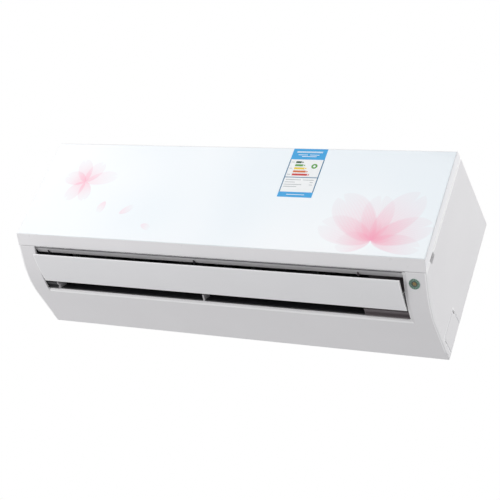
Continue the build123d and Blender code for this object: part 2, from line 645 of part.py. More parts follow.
def outlet_duct():
    """Upper wall, side walls, end pockets, middle rib and sockets of the outlet duct."""
    start, front = tongue(), duct_front()
    run = unit(start, front)
    up = (run[1], -run[0])
    if up[1] < 0:
        up = (-up[0], -up[1])
    left_end = OPEN_LEFT - DUCT_WALL - 0.2
    right_end = OPEN_RIGHT + DUCT_WALL + 0.2
    roof = outline(start, front, along(front, up, DUCT_WALL), along(start, up, DUCT_WALL))
    wall = duct_face()
    post = outline((PIVOT_Y - 6, PIVOT_Z), (PIVOT_Y + 6, PIVOT_Z),
                   (PIVOT_Y + 9, PIVOT_Z + 34), (PIVOT_Y - 9, PIVOT_Z + 34))
    pieces = [prism(roof, DUCT_LEFT - DUCT_WALL, DUCT_RIGHT + DUCT_WALL)]
    pieces.append(prism(wall, DUCT_LEFT - DUCT_WALL, DUCT_LEFT))
    pieces.append(prism(wall, DUCT_RIGHT, DUCT_RIGHT + DUCT_WALL))
    pieces += [end_pocket(left_end + 1.0, DUCT_LEFT - 1.0), end_pocket(DUCT_RIGHT + 1.0, right_end - 1.0)]
    pieces += [prism(end_wall_face(), left_end, OPEN_LEFT - 0.2)]
    pieces += [prism(end_wall_face(), OPEN_RIGHT + 0.2, right_end)]
    rib = (MID_RIB_X - MID_RIB / 2, MID_RIB_X + MID_RIB / 2)
    pieces += [prism(wall, *rib), prism(post, *rib), bar_x(*rib, PIVOT, 6.0)]
    seat = INNER_Y + GAP
    for side, end in ((-1, left_end), (1, right_end)):
        ear = sorted((side * (EAR_X + 7), side * (EAR_X - 7)))
        link = sorted((side * (EAR_X - 6), end - side * 0.8))
        pieces.append(box(*ear, seat, seat + 11, EAR_Z - 6.5, EAR_Z + 5.5))
        pieces.append(box(*link, seat, seat + 7, EAR_Z - 6.5, EAR_Z - 4.6))
    holes = []
    for half in (0, 1):
        for index in range(VANES):
            plane = vane_plane(vane_x(index, half))
            holes.append(bore(plane.offset(-9).origin, plane.z_dir, 12.0, VANE_HUB_R + RUN_FIT, 8))
    holes.append(bore_x(left_end - 1, OPEN_LEFT + 1, PIVOT, PIN_R + RUN_FIT))
    holes.append(bore_x(OPEN_RIGHT - 1, right_end + 1, PIVOT, PIN_R + RUN_FIT))
    holes.append(bore_x(MID_RIB_X - 5, MID_RIB_X + 5, PIVOT, PIN_R + RUN_FIT))
    holes.append(box(OPEN_LEFT - 1 - GAP, OPEN_RIGHT + 1 + GAP, INNER_Y, LEDGE_BACK + GAP,
                     LEDGE_Z - GAP, LEDGE_Z + LEDGE + GAP))
    for side in (-1, 1):
        ear = (side * EAR_X, INNER_Y - 1, EAR_Z)
        holes.append(bar(ear, (0, 1, 0), SPARE - 5, FRAME_SCREW_R + PRESS_FIT))
    return fuse(pieces[0], *pieces[1:]) - holes


def vane_face():
    """Side shape of a vertical vane, clear of the fan and of the louver's sweep."""
    top, bottom = 2.0, VANE_HEIGHT
    ahead, behind = -VANE_AHEAD, VANE_BEHIND
    face = outline(vane_point(top, ahead + 4), vane_point(top, behind), vane_point(bottom - 8, behind),
                   vane_point(bottom, behind - 8), vane_point(bottom, ahead), vane_point(top + 14, ahead))
    fan_room = Pos(*FAN) * RegularPolygon(FAN_R + 6.5, 20, major_radius=False)
    louver_room = Pos(*PIVOT) * RegularPolygon(SWEEP_R, 16, major_radius=False)
    return face - fan_room - louver_room


def vane(index, half):
    """Vertical vane with its pivot hub and the pin for the tie bar."""
    x = vane_x(index, half)
    plane = vane_plane(x)
    blade = prism(vane_face(), x - VANE_THICK / 2, x + VANE_THICK / 2)
    collar = extrude(plane.offset(0.6) * RegularPolygon(3.8, 6), amount=3.0)
    hub = bar(plane.offset(-DUCT_WALL).origin, plane.z_dir, DUCT_WALL + 1, VANE_HUB_R)
    pin = bar((x, *vane_point(VANE_HEIGHT - 1.0, TIE_AT)), plane.z_dir, 5.0, TIE_PIN_R)
    return fuse(blade, collar, hub, pin)


def tie_bar(half):
    """Bar that makes the vanes of one half swing together."""
    plane = vane_plane(0)
    first, last = vane_x(0, half), vane_x(VANES - 1, half)
    middle = (first + last) / 2
    height = VANE_HEIGHT + 0.8
    centre = vane_point(height, TIE_AT)
    flat = Plane(origin=(middle, *centre), x_dir=(1, 0, 0), z_dir=plane.z_dir)
    strip = extrude(flat * Rectangle(last - first + 12, TIE_WIDTH), amount=TIE_THICK)
    holes = []
    for i in range(VANES):
        place = Pos((i - (VANES - 1) / 2) * VANE_PITCH, 0)
        hole = RegularPolygon(TIE_PIN_R + TIE_CLEAR, 8, major_radius=False)
        holes.append(extrude(flat * place * hole, amount=9))
    return strip - holes


# ---- chassis -----------------------------------------------------------------------
CHANNEL_Z = 162.0
CHANNEL_CLEAR = 1.33     # between the channel's front wall and the rear coil
CHANNEL_FRONT = FRONT_Y + 136.2
PLATFORM_RIGHT = HALF - 38.0
BEARING_SEAT_R = 14.0


def end_face():
    """End wall of the fan chamber, inside the heat exchanger."""
    touch_y, touch_z, _ = scroll_touch()
    start = tongue()
    cut = along((touch_y, touch_z), unit((touch_y, touch_z), lip()), 15.0)
    return outline((BACK_Y - 1, SHELF_Z + 1), (BACK_Y - 1, CHANNEL_Z + 1), (CHANNEL_FRONT, CHANNEL_Z + 1),
                   (FAN_Y + 30, FAN_Z + 48), (FAN_Y - 9, HEIGHT - 55.5),
                   (FAN_Y - 50.5, HEIGHT - 112.5), (FAN_Y - 53, 105.5), (start[0] - 1, start[1] + 5.5),
                   along(start, unit(start, cut), 5.0), (cut[0] + 0.5, cut[1] + 0.3),
                   (FAN_Y + 36, SHELF_Z + 1))


def channel_lip():
    """Top of the rear drain channel's front wall, just under the rear coil's corner."""
    run = unit(*COIL_REAR)
    return COIL_REAR[1][1] - run[0] * COIL_THICK / 2 - CHANNEL_CLEAR


def rear_chassis():
    """Rear moulding: back wall, scroll, rear drain channel, end walls and motor cradle."""
    side = HALF - WALL - GAP
    back_in = BACK_Y - CHASSIS_WALL
    shelf_top = SHELF_Z + CHASSIS_WALL
    left, right = DUCT_LEFT - DUCT_WALL, DUCT_RIGHT + DUCT_WALL
    pieces = [box(-side, side, back_in, BACK_Y, SHELF_Z, HEIGHT - WALL - GAP)]
    pieces.append(box(-side, PLATFORM_RIGHT, CHANNEL_FRONT, BACK_Y, SHELF_Z, shelf_top))
    pieces.append(box(left, right, CHANNEL_FRONT - 7, CHANNEL_FRONT + 1, SHELF_Z, shelf_top))
    pieces.append(box(right + GAP, PLATFORM_RIGHT, FAN_Y - 40, CHANNEL_FRONT + 5, SHELF_Z, shelf_top))
    pieces.append(prism(scroll_face(CHASSIS_WALL), left, right))
    channel = (COIL_LEFT - 6, COIL_RIGHT + 6, CHANNEL_FRONT)
    pieces.append(box(*channel, back_in + 1, CHANNEL_Z, CHANNEL_Z + CHASSIS_WALL))
    pieces.append(box(*channel, CHANNEL_FRONT + CHASSIS_WALL, CHANNEL_Z, channel_lip()))
    pieces.append(prism(end_face(), left, DUCT_LEFT))
    pieces.append(prism(end_face(), DUCT_RIGHT, right))
    pieces.append(bar_x(left - 9, DUCT_LEFT, FAN, BEARING_SEAT_R + 4))
    for x0 in (MOTOR_LEFT - 8.0, MOTOR_RIGHT + 3.0):
        pieces.append(box(x0, x0 + 5, FAN_Y - 22, FAN_Y + 22, shelf_top - 1, FAN_Z))
    for x in range(-300, 300, 100):
        rib = outline((CHANNEL_FRONT - 10, SHELF_Z + 1), (BACK_Y - 8, SHELF_Z + 1),
                      (CHANNEL_FRONT - 20, SHELF_Z - 13.5))
        pieces.append(prism(rib, x - 1, x + 1))
    cuts = [bar_x(left - 11, DUCT_LEFT + 1, FAN, BEARING_SEAT_R + 0.2)]
    cuts.append(bar_x(DUCT_RIGHT - 1, right + 1, FAN, 28.0))
    for x0 in (MOTOR_LEFT - 9.0, MOTOR_RIGHT + 2.0):
        cuts.append(bar_x(x0, x0 + 7, FAN, MOUNT_RING_R + 0.2))
    for x in HOOK_X:
        cuts.append(box(x - HOOK_W / 2 - 3, x + HOOK_W / 2 + 3, back_in - 1, BACK_Y + 1,
                        HOOK_Z - 9, HOOK_Z + PLATE_T + GAP))
    return fuse(pieces[0], *pieces[1:]) - cuts


def mounting_plate():
    """Pressed steel wall plate: screw holes, stiffening beads, hooks and lower catches."""
    low, high = SHELF_Z - 1.5, HOOK_Z + PLATE_T
    sheet = box(-PLATE_HALF, PLATE_HALF, -PLATE_T, 0, low, high)
    sheet = chamfer(sheet.edges().filter_by(Axis.Y), 12.0)
    adds = []
    bead = outline((-PLATE_T / 2, -9), (-5, -5), (-5, 5), (-PLATE_T / 2, 9))
    for z in (PATTERN_Z - 30, PATTERN_Z + 30):
        adds.append(prism(Pos(0, z) * bead, -PLATE_HALF + 30, PLATE_HALF - 30))
    for x in HOOK_X:
        x0, x1 = x - HOOK_W / 2, x + HOOK_W / 2
        tip = BACK_Y - CHASSIS_WALL - 3.2
        adds.append(box(x0, x1, tip, 0, HOOK_Z, HOOK_Z + PLATE_T))
        adds.append(box(x0, x1, tip, tip + PLATE_T, HOOK_Z - 8, HOOK_Z + PLATE_T))
    for x in (-180.0, 180.0):
        adds.append(box(x - 15, x + 15, BACK_Y - 4, 0, low, low + PLATE_T))
    cuts = []
    hollow = outline((1, -8), (-5 + PLATE_T, -4.2), (-5 + PLATE_T, 4.2), (1, 8))
    for z in (PATTERN_Z - 30, PATTERN_Z + 30):
        cuts.append(prism(Pos(0, z) * hollow, -PLATE_HALF + 31.5, PLATE_HALF - 31.5))
    for x in (-SCREW_PITCH_X / 2, SCREW_PITCH_X / 2):
        for z in (-SCREW_PITCH_Z / 2, SCREW_PITCH_Z / 2):
            cuts.append(rod((x, -SPARE, PATTERN_Z + z), (0, 1, 0), 2 * SPARE, SCREW_HOLE_R))
    for x in (-165.0, -85.0, 85.0, 165.0):
        cuts.append(box(x - 32, x + 32, -SPARE, SPARE, PATTERN_Z - 15, PATTERN_Z + 15))
    return fuse(sheet, *adds) - cuts


# ---- heat exchanger ------------------------------------------------------------------
def slab_face(ends, grow=0.0):
    """Cross-section of a fin pack between two (y, z) points."""
    (y0, z0), (y1, z1) = ends
    length = hypot(y1 - y0, z1 - z0)
    turn = degrees(atan2(z1 - z0, y1 - y0))
    middle = Pos((y0 + y1) / 2, (z0 + z1) / 2)
    return middle * Rot(0, 0, turn) * Rectangle(length + 2 * grow, COIL_THICK + 2 * grow)


def fin_pack(ends, outward):
    """Block of thin aluminium fins, grooved on the side the air enters."""
    (y0, z0), (y1, z1) = ends
    turn = degrees(atan2(z1 - z0, y1 - y0))
    block = prism(slab_face(ends), COIL_LEFT, COIL_RIGHT)
    middle = Pos((y0 + y1) / 2, (z0 + z1) / 2)
    reach = outward * (COIL_THICK / 2)
    strip = middle * Rot(0, 0, turn) * Pos(0, reach) * Rectangle(SPARE * 6, 2 * FIN_GROOVE_DEPTH)
    count = int((COIL_RIGHT - COIL_LEFT) / FIN_GROOVE_PITCH)
    grooves = []
    for i in range(1, count):
        x = COIL_LEFT + i * FIN_GROOVE_PITCH
        grooves.append(prism(strip, x - FIN_GROOVE / 2, x + FIN_GROOVE / 2))
    return block - grooves


def tube_rows(ends):
    """Centres of the two tube rows of a fin pack."""
    run = unit(*ends)
    side = (-run[1], run[0])
    length = hypot(ends[1][0] - ends[0][0], ends[1][1] - ends[0][1])
    count = int((length - 4) / TUBE_PITCH)
    start = (length - count * TUBE_PITCH) / 2 + TUBE_PITCH / 2
    for row in (-1, 1):
        base = along(ends[0], side, row * COIL_THICK / 4)
        yield [along(base, run, start + i * TUBE_PITCH) for i in range(count)]


def return_bend(a, b, x, side):
    """Copper U-bend between two tube ends, on the given side of the coil."""
    away = side * 13.0
    middle = ((a[0] + b[0]) / 2, (a[1] + b[1]) / 2)
    path = Polyline((x, *a), (x + away * 0.5, *a), (x + away, *middle), (x + away * 0.5, *b), (x, *b))
    section = Plane(origin=(x, *a), z_dir=(side, 0, 0)) * RegularPolygon(TUBE_R, 6)
    return sweep(section, path=path, transition=Transition.RIGHT)


def return_bends(side):
    """U-bends at one end of the coil."""
    x = (COIL_RIGHT if side > 0 else COIL_LEFT) + side * (GAP + END_PLATE + GAP)
    bends = []
    for ends in (COIL_FRONT, COIL_TOP, COIL_REAR):
        first, second = tube_rows(ends)
        if side > 0 and ends == COIL_REAR:
            bends.append(return_bend(first[0], second[0], x, side))
            continue
        bends.append(return_bend(first[0], first[1], x, side))
        bends.append(return_bend(second[0], second[1], x, side))
    return Compound(children=bends)


def coil_end_plate(side):
    """Sheet-metal tube plate at one end of the coil, with its feet."""
    end = COIL_RIGHT if side > 0 else COIL_LEFT
    x0, x1 = sorted((end + side * GAP, end + side * (GAP + END_PLATE)))
    face = slab_face(COIL_FRONT, 1.0) + slab_face(COIL_TOP, 1.0) + slab_face(COIL_REAR, 1.0)
    low_y, low_z = COIL_FRONT[1]
    face += outline((low_y - 10, low_z - 6), (low_y + 12, low_z - 6), (low_y + 18, low_z + 6),
                    (low_y - 2, low_z + 12))
    top_y, top_z = COIL_TOP[1]
    face += outline((top_y - 8, top_z - 9), (top_y + 6, top_z - 13), (top_y + 16, top_z - 3),
                    (top_y + 8, top_z + 7), (top_y - 4, top_z + 7))
    seat = CHANNEL_Z + CHASSIS_WALL + GAP
    foot, foot_z = BACK_Y - 34, COIL_REAR[1][1]
    face += outline((foot, seat), (foot + 14, seat), (foot + 14, foot_z + 16), (foot - 4, foot_z + 6))
    foot = COIL_FRONT[0][0] - 2
    seat = pan_floor(foot + 10) + GAP
    face += outline((foot, seat), (foot + 10, seat), (foot + 10, 100), (foot, 100))
    return prism(face, x0, x1)


# ---- drain pan ---------------------------------------------------------------------
PAN_LEFT = COIL_LEFT - 24.0
PAN_RIGHT = COIL_RIGHT + 23.0
PAN_WALL = 2.0
PAN_FRONT = INNER_Y + 2.8
PAN_REAR = FRONT_Y + 49.7
SPOUT = (FRONT_Y + 14.7, 72.0)
SPOUT_R = 8.0


def roof_z(y, lift):
    """Height above the duct's upper wall at depth y."""
    start, run = tongue(), unit(tongue(), duct_front())
    return start[1] + (y - start[0]) * run[1] / run[0] + lift / abs(run[0])


def pan_floor(y):
    return roof_z(y, DUCT_WALL + GAP + PAN_WALL)


def drain_pan():
    """Tray that catches the water under the front of the coil."""
    low = DUCT_WALL + GAP
    outer = outline((PAN_FRONT, roof_z(PAN_FRONT, low)), (PAN_REAR, roof_z(PAN_REAR, low)),
                    (PAN_REAR, 103), (PAN_REAR - PAN_WALL, 103), (PAN_FRONT + PAN_WALL, 90), (PAN_FRONT, 90))
    inner = outline((PAN_FRONT + PAN_WALL, pan_floor(PAN_FRONT + PAN_WALL)),
                    (PAN_REAR - PAN_WALL, pan_floor(PAN_REAR - PAN_WALL)),
                    (PAN_REAR - PAN_WALL, 110), (PAN_FRONT + PAN_WALL, 110))
    tray = prism(outer, PAN_LEFT, PAN_RIGHT) - prism(inner, PAN_LEFT + PAN_WALL, PAN_RIGHT - PAN_WALL)
    holes = []
    for x in (PAN_LEFT, PAN_RIGHT):
        out = 1 if x > 0 else -1
        holes.append(bar_x(*sorted((x - out * (PAN_WALL + 1), x + out)), SPOUT, SPOUT_R - 2 + GAP))
    return tray - holes


def drain_spout():
    """Hose spout on the right end of the drain pan."""
    stub = sleeve_x(PAN_RIGHT + GAP, PAN_RIGHT + 20, SPOUT, SPOUT_R - 1, SPOUT_R - 3)
    barb = sleeve_x(PAN_RIGHT + 13, PAN_RIGHT + 16, SPOUT, SPOUT_R, SPOUT_R - 3)
    flange = sleeve_x(PAN_RIGHT + GAP, PAN_RIGHT + 2.5, SPOUT, SPOUT_R + 1, SPOUT_R - 3)
    inside = sleeve_x(PAN_RIGHT - PAN_WALL, PAN_RIGHT + 1, SPOUT, SPOUT_R - 2, SPOUT_R - 3)
    return fuse(stub, barb, flange, inside)


def drain_plug():
    """Rubber plug in the unused drain hole at the left end."""
    head = bar_x(PAN_LEFT - 5, PAN_LEFT - GAP, SPOUT, SPOUT_R + 1)
    stem = bar_x(PAN_LEFT - 1, PAN_LEFT + PAN_WALL, SPOUT, SPOUT_R - 2)
    return fuse(head, stem)


# ---- cross-flow fan -------------------------------------------------------------------
def blade_sketch():
    """Curved blade near the rim of the fan, drawn round the origin."""
    outer, inner = FAN_R - 0.6, FAN_R - FAN_RING_WIDTH + 0.6
    lead = radians(13.0)
    bow = (outer + inner) / 2 + 0.5
    a = (outer, 0)
    b = (bow * cos(lead * 0.35), bow * sin(lead * 0.35) + 1.6)
    c = (inner * cos(lead), inner * sin(lead))
    t = BLADE_THICK
    return outline(a, (a[0] - 0.2, a[1] + t), (b[0], b[1] + t), c)


def cross_flow_fan():
    """Squirrel-cage fan: rings, forward-curved blades, closed ends and hub."""
    step = (FAN_RIGHT - FAN_LEFT - FAN_RING) / FAN_SEGMENTS
    rim = RegularPolygon(FAN_R, FAN_BLADES)
    ring = rim - RegularPolygon(FAN_R - FAN_RING_WIDTH, FAN_BLADES)
    centre = Pos(FAN_Y, FAN_Z)
    pieces = []
    for i in range(FAN_SEGMENTS + 1):
        x = FAN_LEFT + i * step
        sketch = rim if i in (0, FAN_SEGMENTS) else ring
        pieces.append(prism(centre * sketch, x, x + FAN_RING))
    blades = [Rot(0, 0, 360 / FAN_BLADES * i) * blade_sketch() for i in range(FAN_BLADES)]
    for blade in blades:
        pieces.append(prism(centre * blade, FAN_LEFT + 0.5, FAN_RIGHT - 0.5))
    pieces.append(bar_x(FAN_LEFT, FAN_LEFT + 14, FAN, 8.0))
    pieces.append(bar_x(FAN_RIGHT - 16, FAN_RIGHT + 6, FAN, 11.0))
    body = fuse(pieces[0], *pieces[1:])
    body -= rod_x(FAN_RIGHT - 18, FAN_RIGHT + 7, FAN, SHAFT_R + PRESS_FIT)
    body -= rod_x(FAN_LEFT - 1, FAN_LEFT + 12, FAN, STUB_R + PRESS_FIT)
    return body


def fan_stub_shaft():
    return rod_x(DUCT_LEFT - 13, FAN_LEFT + 11.5, FAN, STUB_R)


def fan_bearing():
    """Sleeve bearing of the fan's left end."""
    return bar_x(DUCT_LEFT - 11, DUCT_LEFT - 1, FAN, 7.0) - rod_x(
        DUCT_LEFT - 12, DUCT_LEFT, FAN, STUB_R + RUN_FIT)


def bearing_holder():
    """Rubber block that carries the left bearing."""
    block = sleeve_x(DUCT_LEFT - 11, DUCT_LEFT - 1, FAN, BEARING_SEAT_R, 7.0 + PRESS_FIT)
    lip_ring = sleeve_x(DUCT_LEFT - 14, DUCT_LEFT - 11.7, FAN, BEARING_SEAT_R + 3, 7.5)
    bridge = sleeve_x(DUCT_LEFT - 12, DUCT_LEFT - 10.5, FAN, BEARING_SEAT_R, 7.5)
    return fuse(block, bridge, lip_ring)


def fan_motor():
    """Fan motor housing with bearing noses."""
    can = bar_x(MOTOR_LEFT, MOTOR_RIGHT, FAN, MOTOR_R, 16)
    can = chamfer(can.faces().sort_by(Axis.X)[0].edges() + can.faces().sort_by(Axis.X)[-1].edges(), 5.0)
    noses = bar_x(MOTOR_LEFT - 9, MOTOR_RIGHT + 9, FAN, NOSE_R)
    middle = (MOTOR_LEFT + MOTOR_RIGHT) / 2
    band = bar_x(middle - 2, middle + 2, FAN, MOTOR_R + 1.5, 16)
    return fuse(can, noses, band) - rod_x(MOTOR_LEFT - 10, MOTOR_LEFT + 20, FAN, SHAFT_R + RUN_FIT)


def motor_shaft():
    return rod_x(FAN_RIGHT - 16, MOTOR_LEFT + 18, FAN, SHAFT_R)


def motor_rubber_rings():
    """Rubber rings between the motor's noses and its cradle."""
    left = sleeve_x(MOTOR_LEFT - 9, MOTOR_LEFT - 2, FAN, MOUNT_RING_R, NOSE_R + 0.1)
    right = sleeve_x(MOTOR_RIGHT + 2, MOTOR_RIGHT + 9, FAN, MOUNT_RING_R, NOSE_R + 0.1)
    return Compound(children=[left, right])


def motor_clamp():
    """Cover that holds the motor down in its cradle."""
    top = FAN_Z + MOTOR_R + 9
    posts = []
    for x0 in (MOTOR_LEFT - 8.0, MOTOR_RIGHT + 3.0):
        posts.append(box(x0, x0 + 5, FAN_Y - 22, FAN_Y + 22, FAN_Z + GAP, FAN_Z + 26))
        posts.append(box(x0, x0 + 5, FAN_Y - 9, FAN_Y + 9, FAN_Z + 20, top))
    strap = box(MOTOR_LEFT - 8, MOTOR_RIGHT + 8, FAN_Y - 9, FAN_Y + 9, top - 3, top)
    hole = bar_x(MOTOR_LEFT - 10, MOTOR_RIGHT + 10, FAN, MOUNT_RING_R + 0.2)
    return fuse(strap, *posts) - hole


# ---- electrics ---------------------------------------------------------------------
def electrical_box():
    """Open-fronted box for the controls, in front of the fan motor."""
    front = INNER_Y + 2.5
    body = box(BOX_LEFT, BOX_RIGHT, front, BOX_BACK, BOX_BOTTOM, BOX_TOP)
    hollow = box(BOX_LEFT + BOX_WALL, BOX_RIGHT - BOX_WALL, front - 1, BOX_BACK - BOX_WALL,
                 BOX_BOTTOM + BOX_WALL, BOX_TOP - BOX_WALL)
    posts = []
    for x in (BOX_LEFT + 8, BOX_RIGHT - 8):
        for z in (BOX_BOTTOM + 48, BOX_TOP - 12):
            posts.append(bar((x, BOX_BACK - BOX_WALL + 1, z), (0, -1, 0), 7.0, 3.0))
    return fuse(body - hollow, *posts)


def electrical_cover():
    """Lid of the control box, with vents and the hole of the push button."""
    lid = box(BOX_LEFT, BOX_RIGHT, INNER_Y + GAP, INNER_Y + 2.2, BOX_BOTTOM, BOX_TOP)
    cuts = [bore((BUTTON_X, INNER_Y - 1, BUTTON_Z), (0, 1, 0), 5, BUTTON_R + 0.2, 16)]
    for z in (BUTTON_Z + 30, BUTTON_Z + 42, BUTTON_Z + 54):
        cuts.append(box(BOX_LEFT + 20, BOX_RIGHT - 20, INNER_Y - 1, INNER_Y + 5, z, z + 4))
    return lid - cuts


def control_board():
    """Circuit board with its relays, capacitor and fuse."""
    face = BOARD_Y
    board = box(BOX_LEFT + 4, BOX_RIGHT - 4, face - BOARD_THICK, face, BOX_BOTTOM + 42, BOX_TOP - 6)
    parts = [box(BOX_LEFT + 10, BOX_LEFT + 30, face - 17, face - 1, BUTTON_Z + 53, BUTTON_Z + 70)]
    parts.append(box(BOX_LEFT + 36, BOX_LEFT + 52, face - 15, face - 1, BUTTON_Z + 53, BUTTON_Z + 70))
    parts.append(box(BOX_LEFT + 12, BOX_LEFT + 44, face - 9, face - 1, BUTTON_Z + 28, BUTTON_Z + 40))
    parts.append(bar((BOX_RIGHT - 18, face - 1, BUTTON_Z + 44), (0, -1, 0), 22, 9.0, 12))
    parts.append(bar((BOX_RIGHT - 16, face - 1, BUTTON_Z + 18), (0, -1, 0), 14, 5.0))
    parts.append(box(BOX_LEFT + 10, BOX_RIGHT - 10, face - 10, face - 1, 134, 140))
    return fuse(board, *parts)


def transformer():
    """Small mains transformer in the lower part of the control box."""
    core = box(BOX_LEFT + 8, BOX_LEFT + 44, FRONT_Y + 14.2, BOX_BACK - BOX_WALL - GAP, 88, 118)
    coil = box(BOX_LEFT + 4, BOX_LEFT + 48, FRONT_Y + 20.2, BOX_BACK - BOX_WALL - 4, 93, 113)
    return fuse(core, coil)


def terminal_block():
    """Screw terminals for the cable to the outdoor unit."""
    low = BOX_BOTTOM + 4
    face = FRONT_Y + 28.2
    block = box(BOX_RIGHT - 28, BOX_RIGHT - BOX_WALL - GAP, face, BOX_BACK - BOX_WALL - GAP, low, low + 37)
    cuts = []
    screws = []
    for i in range(4):
        z = low + 5 + i * 9
        cuts.append(box(BOX_RIGHT - 29, BOX_RIGHT - 8, face - 1, face + 6, z - 3, z + 3))
        screws.append(bar((BOX_RIGHT - 18, face + 7, z), (0, -1, 0), 4, 2.5))
    return fuse(block - cuts, *screws)


def receiver_lens():
    """Round window of the remote-control receiver."""
    centre = Vector(LENS_X, LENS_Y, under_z(LENS_Y))
    rim = bar(centre + OUT_NORMAL * 0.1, OUT_NORMAL, 0.9, LENS_R, 32)
    rim = chamfer(rim.faces().sort_by(Axis((0, 0, 0), OUT_NORMAL))[-1].edges(), 0.5)
    return fuse(rim, bar(centre - OUT_NORMAL * 6.2, OUT_NORMAL, 6.6, LENS_R - 2, 12))


def receiver_board():
    """Small board with the infra-red sensor behind the lens."""
    centre = Vector(LENS_X, LENS_Y, under_z(LENS_Y)) - OUT_NORMAL * 8.1
    plane = Plane(origin=centre, x_dir=(1, 0, 0), z_dir=OUT_NORMAL)
    board = extrude(plane * Rectangle(26, 20), amount=BOARD_THICK)
    chip = extrude(plane.offset(-5) * Rectangle(9, 7), amount=5.5)
    return fuse(board, chip)


def emergency_button():
    """Push button that starts the unit without its remote control."""
    cap = bar((BUTTON_X, FRONT_Y - 3.0, BUTTON_Z), (0, 1, 0), 16.0, BUTTON_R, 24)
    flange = bar((BUTTON_X, INNER_Y + 2.5, BUTTON_Z), (0, 1, 0), 1.5, BUTTON_R + 2)
    return fuse(cap, flange)


def button_switch():
    """Push switch on the control board, behind the emergency button."""
    tip = FRONT_Y + 15.0
    body = box(BUTTON_X - 5, BUTTON_X + 5, tip + 4, BOARD_Y - BOARD_THICK - GAP, BUTTON_Z - 5, BUTTON_Z + 5)
    stem = bar((BUTTON_X, tip, BUTTON_Z), (0, 1, 0), 5, 2.5)
    return fuse(body, stem)


def room_sensor():
    """Air-temperature sensor in its clip on the coil's right end plate."""
    x = COIL_RIGHT + 2 * GAP + END_PLATE
    clip = box(x, x + 6, FRONT_Y + 14.2, FRONT_Y + 22.2, 138, 160)
    bead = bar((x + 3, FRONT_Y + 18.2, 161), (0, 0, -1), 27, 2.2)
    return fuse(clip, bead)


# ---- pipes ------------------------------------------------------------------------
def pipe(points, radius, bend):
    """Bent tube through the points, with three short steps in each bend."""
    spine = [Vector(*points[0])]
    for before, corner, after in zip(points, points[1:], points[2:]):
        corner = Vector(*corner)
        back = (Vector(*before) - corner).normalized()
        ahead = (Vector(*after) - corner).normalized()
        spine += [corner + back * bend, corner + back * bend * 0.42 + ahead * bend * 0.12,
                  corner + back * bend * 0.12 + ahead * bend * 0.42, corner + ahead * bend]
    spine.append(Vector(*points[-1]))
    start = Plane(origin=spine[0], z_dir=spine[1] - spine[0])
    section = start * RegularPolygon(radius, 10)
    return sweep(section, path=Polyline(*spine), transition=Transition.RIGHT)


def gas_pipe():
    rows = list(tube_rows(COIL_REAR))
    y, z = rows[0][-1]
    start = COIL_RIGHT + 2 * GAP + END_PLATE
    points = [(start, y, z), (HALF - 30, y, z), (HALF - 30, *GAS_LOW), (PIPE_END_X, *GAS_LOW)]
    return pipe(points, GAS_R, 20.0)


def liquid_pipe():
    rows = list(tube_rows(COIL_REAR))
    y, z = rows[1][-1]
    start = COIL_RIGHT + 2 * GAP + END_PLATE
    points = [(start, y, z), (HALF - 14, y, z), (HALF - 14, *LIQUID_LOW), (PIPE_END_X - 40, *LIQUID_LOW)]
    return pipe(points, LIQUID_R, 9.0)


def flare_union(x, centre, radius, thread, hexagon):
    """Brass union with a hexagon and a threaded flare end, on the end of a pipe."""
    nut = prism(Pos(*centre) * RegularPolygon(hexagon, 6), x - 8, x + 3)
    neck = rod_x(x - 26, x - 7, centre, thread)
    cone = bar_x(x - 30, x - 25, centre, thread - 2)
    body = fuse(nut, neck, cone)
    body -= bore_x(x - 1, x + 4, centre, radius + PRESS_FIT, 16)
    return body - bar_x(x - 31, x, centre, radius - 0.8, 8)


def gas_union():
    return flare_union(PIPE_END_X, GAS_LOW, GAS_R, 7.94, 11.0)


def liquid_union():
    return flare_union(PIPE_END_X - 40, LIQUID_LOW, LIQUID_R, 5.56, 8.5)


def pipe_clamp():
    """Plate that holds the two pipes in the trough."""
    left, right, top = GAS_LOW[0] - 10, BACK_Y - 8, SHELF_Z - GAP
    face = outline((left, 16), (right, 16), (right, top), (FAN_Y + 32, top), (FAN_Y + 22, top - 19.2))
    face -= Pos(*GAS_LOW) * RegularPolygon(GAS_R + 0.3, 10)
    face -= Pos(*LIQUID_LOW) * RegularPolygon(LIQUID_R + 0.3, 10)
    return prism(face, CLAMP_X, CLAMP_X + 4.0)


# ---- filters and fasteners -------------------------------------------------------------
FILTERS = ((22.0 - HALF, -40.0), (-34.0, HALF - 96.0))
FILTER_BOTTOM = 73.5
FILTER_TOP = HEIGHT - WALL - 2.2
FILTER_BACK = FRONT_Y + 122.2
FILTER_FRAME = 2.0
FILTER_R = 34.0


def filter_face(skin, depth):
    """Strip behind the front wall that bends over under the top grille."""
    def corner(inset):
        front, top = INNER_Y + GAP + inset, FILTER_TOP - inset
        reach = FILTER_R - inset
        return outline((front, 0), (front, top - reach), (front + reach * 0.134, top - reach * 0.5),
                       (front + reach * 0.5, top - reach * 0.134), (front + reach, top),
                       (SPARE, top), (SPARE, 0))
    face = corner(skin) - corner(skin + depth)
    return face & outline((-HALF, FILTER_BOTTOM), (-HALF, HALF),
                          (FILTER_BACK, HALF), (FILTER_BACK, FILTER_BOTTOM))


def air_filter(left, right):
    """Washable dust filter: thin mesh on a ribbed frame, with a pull tab."""
    mesh = prism(filter_face(0.8, 0.6), left + 1, right - 1)
    frame = filter_face(0, FILTER_FRAME)
    ribs = []
    bays = 3
    for i in range(bays + 1):
        x = left + i * (right - left - 4) / bays
        ribs.append(prism(frame, x, x + 4))
    for z in (FILTER_BOTTOM, 130.0, 186.0):
        ribs.append(box(left, right, INNER_Y + GAP, INNER_Y + GAP + FILTER_FRAME, z, z + 4))
    for y in (FILTER_BACK - 46, FILTER_BACK - 4):
        ribs.append(box(left, right, y, y + 4, FILTER_TOP - FILTER_FRAME, FILTER_TOP))
    return fuse(mesh, *ribs)


